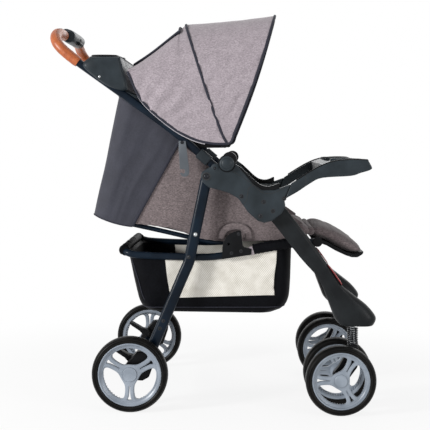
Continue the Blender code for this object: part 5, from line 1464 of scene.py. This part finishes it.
def canopy_clip(label, side):
    along = Vector((cos(BAR_ANGLE), sin(BAR_ANGLE)))
    foot = Vector(FOLD_PIVOT) + along * 0.085
    head = Vector(CANOPY_PIVOT)
    line = (head - foot).normalized()
    across = Vector((-line.y, line.x))
    outline = []
    for centre, start in ((head, 90), (foot, 270)):
        for step in range(13):
            angle = radians(start - 15 * step)
            corner = centre + line * 0.008 * cos(angle) + across * 0.008 * sin(angle)
            outline.append((corner.x, corner.y))
    pieces = [slab("clip_plate", outline, side * 0.209, side * 0.2125, BLACK, 0.0008, 3),
        rod("clip_seat", (foot.x, foot.y), 0.0065, side * 0.2115, side * (BAR_Y - BAR_R - FIT),
        BLACK), rod("clip_pin", CANOPY_PIVOT, 0.003, side * 0.2115, side * 0.2348, BLACK),
        rod("clip_spacer", CANOPY_PIVOT, 0.007, side * 0.2115, side * 0.2267, BLACK)]
    settle(merged(f"canopy_clip_moulding_{label}", pieces), "handle", BLACK,
        f"canopy_clip_{label}")


console()
storage_hook()
both(latch_sleeve, canopy_clip)
rivets("console_screws", [(-0.2834, 0.8318)], 0.2432, "handle", 0.003, True, 0.0016)


# Canopy

EDGES = mm((-213.5, 843), (-178, 773.5), (-109, 713), (-54, 682.5), (-6, 670.5), (35, 669.2),
    (43.2, 674), (47.2, 682), (50.5, 693.5))
SEWN_ON = Vector((-0.213, 0.856))


def over_bow(degrees, reach):
    angle = radians(degrees)
    out = reach + 0.0018 + 0.0022 + 0.0031
    return Vector(CANOPY_PIVOT) + out * Vector((cos(angle), sin(angle)))


def beside(start, end, *places):
    """Points that far along the line between two, and that far above it."""
    return [start + (end - start) * share + Vector((0, rise)) for share, rise in places]


OVER_MID = over_bow(109.0, 0.318)
OVER_FRONT = over_bow(69.7, 0.347)
TOPS = [SEWN_ON]
TOPS += beside(SEWN_ON, OVER_MID, (0.4141, -0.0048), (0.8468, -0.0024), (0.9003, -0.0014),
    (0.9537, -0.0005))
TOPS.append(OVER_MID)
TOPS += beside(OVER_MID, OVER_FRONT, (0.4294, -0.0024), (0.695, -0.0022))
TOPS.append(OVER_FRONT)
CREASE_AT = Vector((0.035, 0.7))


def crease(x, y, z, front):
    """How far the stretched cloth stands proud or sinks at a point, in metres."""
    side_on = min(1.0, max(0.0, (abs(y) - 0.16) / 0.06))
    if front:
        along = Vector((x - CREASE_AT.x, z - CREASE_AT.y))
        lane_ = -0.66 * along.x + 0.75 * along.y
        swing = noise.noise(Vector((x * 11, z * 11, 3)))
        turn = lane_ * 78 + swing * 1.6
        groove = exp(-(sin(turn) ** 2) / 0.22)
        strength = 0.95 + 0.8 * noise.noise(Vector((turn * 0.32, 4, along.length * 9)))
        fade = min(1.0, along.length / 0.05) * max(0.0, 1 - max(0, along.length - 0.1) / 0.26)
        fade *= max(0.0, min(1.0, strength))
        wave = 0.5 + 0.5 * sin(turn * 2 + 0.8)
        return (side_on * fade * (0.003 * wave - 0.004 * groove) + 0.0006 *
            noise.noise(Vector((x * 30, y * 12, z * 30))))
    along = Vector((x + 0.205, z - 0.66))
    turn = atan2(along.y, along.x)
    swing = 1.4 * noise.noise(Vector((x * 11, z * 11, 7)))
    fold = sin(turn * 26 + swing * 2.4)
    fade = max(0.0, 1 - abs(z - 0.76) / 0.11)
    return side_on * 0.003 * fold * fade + 0.002 * noise.noise(Vector((x * 22, y * 9, z * 22)))


def canopy_rows(first, last, per_span):
    """Rows of (edge, top) between two stations, rounded through them."""
    return list(zip(curved(EDGES[first:last + 1], per_span), curved(TOPS[first:last + 1],
        per_span)))


def canopy_point(edge, top, share, grow=0.0):
    across, rise = superellipse(pi * share, CANOPY_POWER)
    reach = top - edge
    point = edge + reach * rise - Vector((0, (CANOPY_IN + grow) * across, 0))
    # The front bow bends forwards, the middle one a little back
    ahead = (top.x - OVER_MID.x) / (OVER_FRONT.x - OVER_MID.x)
    point.x += 0.006 * max(0.0, ahead) ** 2 * sin(pi * rise)
    point.x -= 0.0062 * exp(-(ahead / 0.4) ** 2) * sin(pi * sqrt(rise))
    return point + reach.normalized() * grow * rise


def canopy_shares(count):
    """Columns spread evenly by length over the superellipse."""
    fine = 400
    edge, top = Vector((0.5, 0, 0)), Vector((0.5, 0, 0.32))
    line = [Vector((0, p.y, p.z)) for p in (canopy_point(edge, top,
        step / fine) for step in range(fine + 1))]
    lengths = [0.0]
    for a, b in zip(line, line[1:]):
        lengths.append(lengths[-1] + (b - a).length)
    shares = []
    index = 0
    for step in range(count + 1):
        goal = lengths[-1] * step / count
        while index < fine and lengths[index + 1] < goal:
            index += 1
        span = lengths[index + 1] - lengths[index] if index < fine else 1
        shares.append(min(1.0, (index + (goal - lengths[index]) / span) / fine) if index < fine
            else 1.0)
    return shares


SHARES = canopy_shares(190)


def canopy_panel(name, first, last, per_span, front):
    rows = []
    for edge, top in canopy_rows(first, last, per_span):
        row = []
        for share in SHARES:
            point = canopy_point(edge, top, share)
            lift = crease(point.x, point.y, point.z, front)
            outer = canopy_point(edge, top, share, 0.0018 + lift)
            inner = canopy_point(edge, top, share, 0.0006 + lift)
            row.append((outer, inner))
        rows.append(row)
    return sheet(name, rows, TAUPE, sharp=70)


def along_top(row, grow):
    return [canopy_point(*row, share, grow) for share in SHARES]


rear_panel = canopy_panel("canopy_rear", 0, 5, 9, False)
front_panel = canopy_panel("canopy_front", 5, 8, 14, True)
for panel in (rear_panel, front_panel):
    settle(panel, None, TAUPE, "canopy")
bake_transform(rear_panel)
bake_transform(front_panel)


def binding(name, path, half_side, half_up, body=None, side=(0, 0, 1)):
    made = tube(name, path, half_side, half_up, "binding", 14, 2.4, side, half_up)
    return settle(made, body, OXFORD) if body else made


front_rows = canopy_rows(5, 8, 14)
binding("canopy_bow_binding", along_top(front_rows[0], 0.0016), 0.0033, 0.0026, "canopy_mid")
binding("canopy_front_binding", along_top(front_rows[-1], 0.001), 0.0034, 0.0034, "canopy_front")
for label, end in (("right", 0), ("left", -1)):
    corner = [canopy_point(*row, SHARES[end], 0.001) for row in front_rows]
    made = binding(f"canopy_corner_binding_{label}", corner, 0.003, 0.003, side=(0, 1, 0))
    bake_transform(made)
for label, end in (("right", 0), ("left", -1)):
    line = [canopy_point(*row, SHARES[end], 0.0012) for row in canopy_rows(0, 5, 9)]
    made = binding(f"canopy_edge_{label}", line, 0.0026, 0.0032, side=(0, 1, 0))
    pale = tube(f"canopy_edge_tape_{label}", [p + Vector((0, 0, -0.0042)) for p in line[6:34]],
        0.0008, 0.0013, "pale_tape", 10)
    made = merged(f"canopy_edge_{label}", [made, pale])
    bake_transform(made)


def canopy_flap():
    """The vinyl cover over the window at the back, with its bound edges."""
    rows = canopy_rows(0, 3, 12)[2:]
    spread = [0.325 + 0.35 * step / 60 for step in range(61)]
    grid = []
    for edge, top in rows:
        row = []
        for share in spread:
            row.append((canopy_point(edge, top, share, 0.0062), canopy_point(edge, top, share,
                0.0048)))
        grid.append(row)
    flap = sheet("canopy_flap", grid, "flap", sharp=70)
    border = [pair[0] for pair in grid[0]] + [row[-1][0] for row in grid[1:]]
    border += [pair[0] for pair in reversed(grid[-1][:-1])] + [row[0][0] for row in
        reversed(grid[1:-1])]
    rings = [ring_at(place, 0.0032, 0.0028, 10) for place in frames_along(border, (0, 0, 1))]
    edge = skinned("canopy_flap_edge", rings, "binding", 60, looped=True)
    whole = merged("canopy_flap", [flap, edge])
    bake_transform(whole)


canopy_flap()


# Side panels and hood

PANEL_TOP = mm((-209.5, 470), (-86.5, 668), (-20, 625), (40, 582), (100, 545), (150, 515),
    (200, 490), (226, 472))
PANEL_LOW = mm((-209.5, 466.5), (-107.5, 456), (-31.5, 429), (10, 423.5), (70, 423.5), (189, 429),
    (226, 433))
PANEL_WIDTH = [(0.4, 0.1842), (0.7, 0.2076)]


def panel_ripple(x, z, low):
    near_edge = exp(-((z - low) / 0.014) ** 2)
    pucker = 0.0014 * near_edge * sin(x * 620 + 2.0 * noise.noise(Vector((x * 40, 0, 1))))
    drape = 0.0028 * noise.noise(Vector((x * 13, z * 7, 11))) + 0.0012 * noise.noise(Vector((x *
        34, z * 22, 5)))
    return pucker + drape


def side_panel(label, side):
    grid = []
    stations = [(-0.2095 + (0.226 + 0.2095) * step / 96) for step in range(97)]
    for x in stations:
        low = interpolate(PANEL_LOW, x)
        high = interpolate(PANEL_TOP, x)
        row = []
        for step in range(41):
            z = low + (high - low) * step / 40
            y = interpolate(PANEL_WIDTH, z) + min(0.0002, panel_ripple(x, z, low)) - 0.0006
            row.append((Vector((x, side * y, z)), Vector((x, side * (y - 0.0013), z))))
        grid.append(row)
    made = sheet(f"seat_side_{label}", grid, "seat_cloth", sharp=70)
    settle(made, "frame", TAUPE, f"side_panel_{label}")
    hem = []
    for index in range(97):
        x = stations[index]
        low = interpolate(PANEL_LOW, x)
        y = interpolate(PANEL_WIDTH, low) - 0.0006 + min(0.0002, panel_ripple(x, low, low))
        hem.append((x, side * (y + 0.0002), low + 0.001 + 0.0005 * sin(index * 1.3)))
    piping = tube(f"seat_side_hem_{label}", hem, 0.0014, 0.0014, "seat_cloth", 10)
    settle(piping, "frame", TAUPE)


def plate_arch(label, side):
    """The padded cloth arch round the quarter plate's top."""
    middle = through(mm((21.5, 0, 433), (23.9, 0, 443), (34, 0, 456), (56, 0, 462), (77, 0, 458.5),
        (88.5, 0, 447), (89.5, 0, 433)), 6)
    path = [(p.x, side * (interpolate(PANEL_WIDTH, p.z) + 0.0042), p.z) for p in middle]
    made = tube(f"seat_arch_{label}", path, 0.0036, 0.0085, "seat_cloth", 20, 2.6, dome=0.004)
    settle(made, "frame", TAUPE)


def hood():
    """The ink cloth behind the head, hanging in soft upright folds."""
    levels = 40
    corner = 0.04
    rows = []
    fronts = []
    for level in range(levels + 1):
        share = level / levels
        front = Vector((-0.205, 0.46)).lerp(Vector((-0.082, 0.683)), share)
        rear = Vector((-0.306, 0.486)).lerp(Vector((-0.241, 0.787)), share)
        half = interpolate(PANEL_WIDTH, front[1]) + RUNNING + 0.0022
        turn = 1 - corner / (front[0] - rear[0])
        quarter = [(turn * step / 26, half, 0.0) for step in range(26)]
        for step in range(13):
            angle = pi / 2 * step / 12
            quarter.append((turn + (1 - turn) * sin(angle), half - corner * (1 - cos(angle)),
                step / 12))
        quarter += [(1.0, (half - corner) * (1 - step / 26), 1.0) for step in range(1, 27)]
        whole = [(share_x, -y, facing) for share_x, y, facing in quarter]
        whole += [(share_x, y, facing) for share_x, y, facing in reversed(quarter[:-1])]
        row = []
        for share_x, y, facing in whole:
            x = front[0] + (rear[0] - front[0]) * share_x
            z = front[1] + (rear[1] - front[1]) * share_x
            z -= 0.0065 * (1 - share) ** 6 * sin(pi * min(1, 0.15 + 0.85 * share_x))
            slack = sin(pi * share) ** 0.7
            fold = 0.0034 * noise.noise(Vector((share_x * 7 + share * 0.9, y * 3, share * 1.2)))
            fold += 0.001 * noise.noise(Vector((share_x * 17 + share * 2.0, y * 8, share * 3)))
            lift = 0.002 + fold * slack * 1.5
            lift = max(0.0003, min(lift, 0.0065))
            edge = min(1.0, share_x / 0.1)
            lift *= edge
            out = Vector((-facing, (1 - facing) * copysign(1, y), 0)).normalized()
            outer = Vector((x, y, z)) + out * lift
            row.append((outer, outer - out * 0.0013))
        rows.append(row)
        fronts.append((Vector((front[0], -half, front[1])), Vector((front[0], half, front[1]))))
    made = sheet("hood_cloth", rows, OXFORD, sharp=70)
    settle(made, "frame", OXFORD, "hood")
    pipes = []
    for end in (0, 1):
        pipes.append(tube("pipe", [pair[end] for pair in fronts], 0.0017, 0.004, "binding", 12))
    pipes.append(tube("pipe", [pair[0] + Vector((0, 0, 0.0005)) for pair in rows[0]], 0.0016,
        0.0016, "binding", 10, side=(0, 0, 1)))
    pipes.append(tube("pipe", [pair[0] for pair in rows[-1]], 0.0016, 0.0016, "binding", 10,
        side=(0, 0, 1)))
    settle(merged("hood_binding", pipes), "frame", OXFORD)


both(side_panel, plate_arch)
hood()


# Cushions

PAD_MIDDLE = 0.42
SEAT_SPINE = mm((56, 426, 445), (66, 422.8, 460), (100, 424, 470), (150, 427.5, 475),
    (200, 430.5, 476), (232, 433, 470), (247.5, 437, 460))
CALF_SPINE = mm((249, 436.5, 460), (262, 432, 466), (290, 424, 460), (314, 411, 451),
    (340, 397.5, 437), (360, 392.5, 423), (382, 397, 406))
BACK_LINE = mm((-280, 478), (-199, 460), (-136, 447), (-39, 426), (3, 418.5), (40, 418))


def cushion(name, spine, half, channels, body, node_name, cap=0.005, depth=0.0045):
    """A crowned pad: shrunk, blown up as cloth, then sewn across its channels."""
    lows = [(p[0], p[1]) for p in spine]
    highs = [(p[0], p[2]) for p in spine]
    start, end = spine[0][0], spine[-1][0]
    rings = []
    steps = 30
    for index in range(steps + 1):
        x = start + (end - start) * index / steps
        low, high = eased(lows, x), eased(highs, x)
        near = min(index, steps - index)
        drawn_in = 0.012 * max(0.0, 1 - near / 3) ** 2
        middle = low + PAD_MIDDLE * (high - low)
        squeeze = 0.86 if near > 0 else 0.6
        ring = []
        for step in range(56):
            across, rise = superellipse(tau * step / 56, 4)
            height = (high - middle) if rise > 0 else (middle - low)
            ring.append((x, (half - drawn_in - 0.002) * across, middle + height * rise * squeeze))
        rings.append(ring)
    made = skinned(name, rings, "seat_cloth", 60)
    remesh = made.modifiers.new("remesh", "REMESH")
    remesh.mode = "VOXEL"
    remesh.voxel_size = 0.0055
    settled(made, 60)
    rest = [v.co.copy() for v in made.data.vertices]
    scene = bpy.context.scene
    cloth = made.modifiers.new("cloth", "CLOTH")
    cloth.settings.use_pressure = True
    cloth.settings.uniform_pressure_force = 4
    cloth.settings.effector_weights.gravity = 0
    cloth.point_cache.frame_start = 1
    cloth.point_cache.frame_end = 20
    for now in range(1, 21):
        scene.frame_set(now)
    settled(made, 60)
    scene.frame_set(1)
    for vertex, was in zip(made.data.vertices, rest):
        move = vertex.co - was
        if move.length > cap:
            vertex.co = was + move.normalized() * cap
    smooth = made.modifiers.new("smooth", "SUBSURF")
    smooth.levels = smooth.render_levels = 1
    settled(made, 60)
    for vertex in made.data.vertices:
        x, y, z = vertex.co
        low, high = eased(lows, x), eased(highs, x)
        middle = low + PAD_MIDDLE * (high - low)
        if z > middle:
            for channel in channels:
                vertex.co.z -= depth * exp(-((x - channel) / 0.006) ** 2)
            vertex.co.z += 0.0007 * noise.noise(Vector((x * 60, y * 30, 2)))
            vertex.co.z = min(vertex.co.z, high + 0.004)
        else:
            vertex.co.z = max(vertex.co.z, low)
        vertex.co.x = min(max(vertex.co.x, start - 0.0005), end + 0.0005)
        vertex.co.y = min(max(vertex.co.y, -half), half)
    made.data.materials.clear()
    made.data.materials.append(FINISH["seat_cloth"])
    made.data.polygons.foreach_set("material_index", [0] * len(made.data.polygons))
    settle(made, body, TAUPE, node_name)
    return made


cushion("seat_cushion", SEAT_SPINE, 0.18, (0.148, 0.209), "frame", "seat_pad", 0.004, 0.0022)
roll = tube("knee_roll", at_y_line(0.2485, 0.449, 0.158), 0.01, 0.0105, "seat_cloth", 24,
    side=(1, 0, 0), dome=0.004)
settle(roll, "frame", TAUPE)
cushion("calf_cushion", CALF_SPINE, 0.16, (0.3,), "calf_rest", "calf_pad", 0.004, 0.0012)
BACK_SPINE = []
for x, rise, thick in ((-0.264, 0.004, 0.016), (-0.25, 0.0, 0.03), (-0.2, 0.0, 0.036),
        (-0.136, 0.0, 0.036), (-0.07, 0.0, 0.036), (-0.015, 0.0, 0.034), (0.008, 0.002, 0.026),
        (0.02, 0.006, 0.012)):
    low = interpolate(BACK_LINE, x) + 0.006 + RUNNING + rise
    BACK_SPINE.append((x, low, low + thick))
cushion("back_cushion", BACK_SPINE, 0.177, (-0.2, -0.136, -0.07), "backrest", "backrest_pad")


# Backrest tube, calf board, harness

def backrest_frame():
    half = 0.17
    knots = [(x, -half, z) for x, z in reversed(BACK_LINE[1:])]
    for ahead, inwards in ((0.022, 0.0015), (0.009, 0.008), (0.0015, 0.021), (0.0, 0.04)):
        x = -0.28 + ahead
        knots.append((x, -half + inwards, interpolate(BACK_LINE, x)))
    knots += mirrored(knots)
    pieces = [tube("back_tube", through(knots, 5), 0.006, 0.006, NAVY, 24, dome=0.001)]
    for _, side in SIDES:
        pieces.append(rod("recline_pin", RECLINE_PIVOT, 0.0035, side * half, side * 0.2115, STEEL))
    settle(merged("backrest_tube", pieces), "backrest", NAVY, "backrest_frame")


def calf_board():
    outline = mm((250.5, 435.9), (262, 431.4), (290, 423.4), (314, 410.4), (340, 396.9),
        (360, 391.9), (378, 395.5), (385, 399), (383, 392), (370, 383.5), (355, 383.5), (340, 388),
        (314, 399.5), (290, 413), (262, 422.5), (250.5, 429))
    pieces = [slab("calf_panel", outline, -0.16, 0.16, BLACK, 0.0022, 3)]
    for _, side in SIDES:
        knob = side * (RAIL_Y - RAIL_R - 0.0005)
        pieces += [lathe("calf_knob", [(0, 0.154), (0.009, 0.154), (0.0095, 0.156),
            (0.0095, abs(knob) - 0.0015), (0.0082, abs(knob)), (0, abs(knob))], CALF_PIVOT, side,
            BLACK, 48), rod("calf_pin", CALF_PIVOT, 0.0035, side * 0.156,
            side * (RAIL_Y + RAIL_R + 0.0006), STEEL), rod("calf_cap", CALF_PIVOT, 0.0122,
            side * (RAIL_Y + RAIL_R + 0.0004), side * (RAIL_Y + RAIL_R + 0.0032), BLACK,
            edge=0.0009)]
    settle(merged("calf_board_moulding", pieces), "calf_rest", BLACK, "calf_board")


def rise_at(half, y):
    quarter = sorted(superellipse(tau * step / 18, 4) for step in range(5))
    return interpolate([(0.0, quarter[0][1]), *quarter], abs(y) / half)


def seat_top(x, y):
    low = interpolate([(p[0], p[1]) for p in SEAT_SPINE], x)
    high = interpolate([(p[0], p[2]) for p in SEAT_SPINE], x)
    middle = low + PAD_MIDDLE * (high - low)
    return middle + (high - middle) * rise_at(0.18, y)


def harness():
    grid = []
    for column in range(9):
        x = 0.1 + 0.024 * column / 8
        row = []
        for step in range(81):
            y = -0.146 + 0.292 * step / 80
            low = seat_top(0.1, y) + RUNNING
            low = min(low, seat_top(0.1, 0.0) + RUNNING)
            crown = 0.0003 * cos((column - 4) / 4 * 1.4)
            row.append((Vector((x, y, low + 0.0015 + crown)), Vector((x, y, low))))
        grid.append(row)
    strap = sheet("waist_webbing", grid, COATED, sharp=50)
    settle(strap, "frame", COATED, "harness_webbing")
    middle = 0.112
    top = seat_top(0.1, 0.0) + RUNNING + 0.0018 + FIT
    buckle = slab("buckle", [(middle - 0.021, top), (middle + 0.021, top),
        (middle + 0.021, top + 0.0105), (middle + 0.015, top + 0.014),
        (middle - 0.015, top + 0.014), (middle - 0.021, top + 0.0105)], -0.019, 0.019, BLACK,
        0.003, 4)
    well = bore(middle, 0, 0.0085, top + 0.006, top + 0.03, 40)
    buckle = carved(buckle, well)
    tongues = [slab("tongue", box(middle - 0.013, top + 0.002, middle + 0.013, top + 0.0085),
        side * 0.0185, side * 0.034, BLACK, 0.0018, 3) for _, side in SIDES]
    settle(merged("buckle_moulding", [buckle, *tongues]), "frame", BLACK, "harness_buckle")
    button = post("buckle_push", middle, 0, from_base(top, (0, 8.5), (7.4, 8.5), (8, 9.2), (8, 14),
        (7.3, 15), (4, 14.6), (0, 14.4)), "red_lens", 40)
    settle(button, "buckle_release", "red_lens", "buckle_button")


backrest_frame()
calf_board()
harness()


# Child tray

TRAY_TOP = mm((193, 573.5), (221, 591.5), (250, 609.5), (276, 622.5), (302, 630.5), (338, 634),
    (372, 633.8), (381, 631), (388.5, 619))
TRAY_LOW = mm((390.5, 613.5), (383, 608.5), (362, 602), (338, 594.5), (269, 589), (240, 575.5),
    (210, 555), (178.5, 536.5))
TRAY_CUP_X = 0.334


def child_tray():
    upper, under = ([(p.x, p.z) for p in curved(line, 4)] for line in (TRAY_TOP, TRAY_LOW))
    outline = [(upper[0][0] + FIT, upper[0][1])] + upper[1:] + under[:-1]
    outline.append((under[-1][0] + 2 * FIT, under[-1][1]))
    tray = slab("tray_body", outline, -0.262, 0.262, SLATE, 0.0044, 4)
    tools = [slab("gap", box(0.15, 0.5, 0.272, 0.7), -0.236, 0.236, SLATE)]
    for _, side in SIDES:
        tools.append(post("cup", TRAY_CUP_X, side * 0.165, mm((0, 604), (31, 604), (36, 609),
            (36, 700), (0, 700)), SLATE, 64))
    tools.append(slab("recess", box(0.292, 0.604, 0.376, 0.7), -0.115, 0.115, SLATE))
    tray = carved(tray, *tools)
    pieces = [tray]
    for _, side in SIDES:
        pieces.append(post("cup_rim", TRAY_CUP_X, side * 0.165, mm((36, 630), (36, 635),
            (37.2, 636.2), (39, 635.8), (40.2, 633.5), (40.4, 630)), SLATE, 64))
        along = Vector((0.825, 0, 0.565)).normalized()
        across = Vector((-along.z, 0, along.x))
        root = Vector((0.1865, 0, 0.5555))
        corners = []
        for distance, step in ((-0.018, -1), (0.012, -1), (0.012, 1), (-0.018, 1)):
            corner = root + along * distance + across * step * 0.008
            corners.append((corner.x, corner.z))
        pieces.append(slab("tray_tongue", corners, side * 0.244, side * 0.258, SLATE, 0.001, 2))
    settle(merged("tray_moulding", pieces), "tray", SLATE, "child_tray")
    # The dark rubber lip along the top, and the seam across each arm
    lip = [(x, -0.2575, z + 0.0002) for x, z in upper[2:-6]]
    rear = mm((380, -249, 631.2), (381.5, -230, 631), (381.5, -150, 631), (381.5, 0, 631))
    half_lip = lip + rear
    whole = half_lip + mirrored(half_lip[:-1])
    rim = tube("tray_lip", whole, 0.0034, 0.0024, BLACK, 14, dome=0.002)
    seams = [tube("tray_seam", through([(0.2262, side * 0.2619, 0.5955),
        (0.229, side * 0.2619, 0.58), (0.2253, side * 0.2619, 0.566)], 5), 0.0004, 0.0005, "seam",
        8) for _, side in SIDES]
    settle(merged("tray_trim", [rim, *seams]), "tray", BLACK)


child_tray()


# Floor, lights, camera

def studio():
    size = 12.0
    floor = shape("floor", [(-size, -size, 0), (size, -size, 0), (size, size, 0),
        (-size, size, 0)], [(0, 1, 2, 3)], "seam")
    material, tree, principled, place = surface("matte_paper_white", Roughness=0.9)
    principled.inputs["Base Color"].default_value = linear("#f6f6f6")
    distance = node(tree, "ShaderNodeVectorMath", {0: place}, operation="LENGTH").outputs["Value"]
    fade = node(tree, "ShaderNodeMapRange", {"Value": distance, "From Min": 0.55, "From Max": 1.3,
        "To Min": 0.86}, interpolation_type="SMOOTHSTEP").outputs["Result"]
    white = node(tree, "ShaderNodeEmission", {"Color": (1, 1, 1, 1), "Strength": 1.0})
    mixed = node(tree, "ShaderNodeMixShader", {0: fade, 1: principled.outputs["BSDF"],
        2: white.outputs["Emission"]})
    tree.links.new(mixed.outputs["Shader"], tree.nodes["Material Output"].inputs["Surface"])
    floor.data.materials.clear()
    floor.data.materials.append(material)

    world = bpy.data.worlds.new("studio_air")
    bpy.context.scene.world = world
    world.use_nodes = True
    tree = world.node_tree
    tree.nodes.clear()
    path = node(tree, "ShaderNodeLightPath").outputs
    seen = maths(tree, "MAXIMUM", path["Is Camera Ray"], path["Is Glossy Ray"])
    seen = maths(tree, "MAXIMUM", seen, path["Is Transmission Ray"])
    lit = node(tree, "ShaderNodeBackground", {"Color": (1, 1, 1, 1), "Strength": 0.26})
    shown = node(tree, "ShaderNodeBackground", {"Color": (1, 1, 1, 1), "Strength": 1.0})
    mixed = node(tree, "ShaderNodeMixShader", {0: seen, 1: lit.outputs[0], 2: shown.outputs[0]})
    node(tree, "ShaderNodeOutputWorld", {"Surface": mixed.outputs[0]})

    for name, place, size, power in (("key_softbox", (-2.5, -1.9, 1.2), 0.6, 92),
            ("fill_softbox", (2.1, -2.0, 1.1), 1.1, 22), ("top_softbox", (0.0, 0.2, 2.8), 1.8, 8),
            ("back_softbox", (0.6, 2.4, 1.8), 1.6, 14)):
        data = bpy.data.lights.new(name, "AREA")
        data.shape = "SQUARE"
        data.size = size
        data.energy = power
        lamp = linked(name, data)
        lamp.location = place
        aim = Vector((0, 0, 0.5)) - Vector(place)
        lamp.rotation_mode = "QUATERNION"
        lamp.rotation_quaternion = aim.to_track_quat("-Z", "Y")


def camera():
    data = bpy.data.cameras.new("camera")
    data.sensor_width = 36
    data.lens = 87.85
    data.clip_end = 60
    eye = linked("camera", data)
    yaw, pitch, roll = (radians(angle) for angle in (-1.674, -3.858, 0.6185))
    ahead = Vector((sin(yaw) * cos(pitch), cos(yaw) * cos(pitch), sin(pitch)))
    right = Vector((cos(yaw), -sin(yaw), 0))
    up = right.cross(ahead)
    across = right * cos(roll) + up * sin(roll)
    high = -right * sin(roll) + up * cos(roll)
    turn = Matrix((across, high, -ahead)).transposed().to_4x4()
    eye.matrix_world = Matrix.Translation((0.08188, -2.8407, 0.66845)) @ turn
    bpy.context.scene.camera = eye


studio()
camera()
bpy.context.scene.view_settings.view_transform = "Standard"
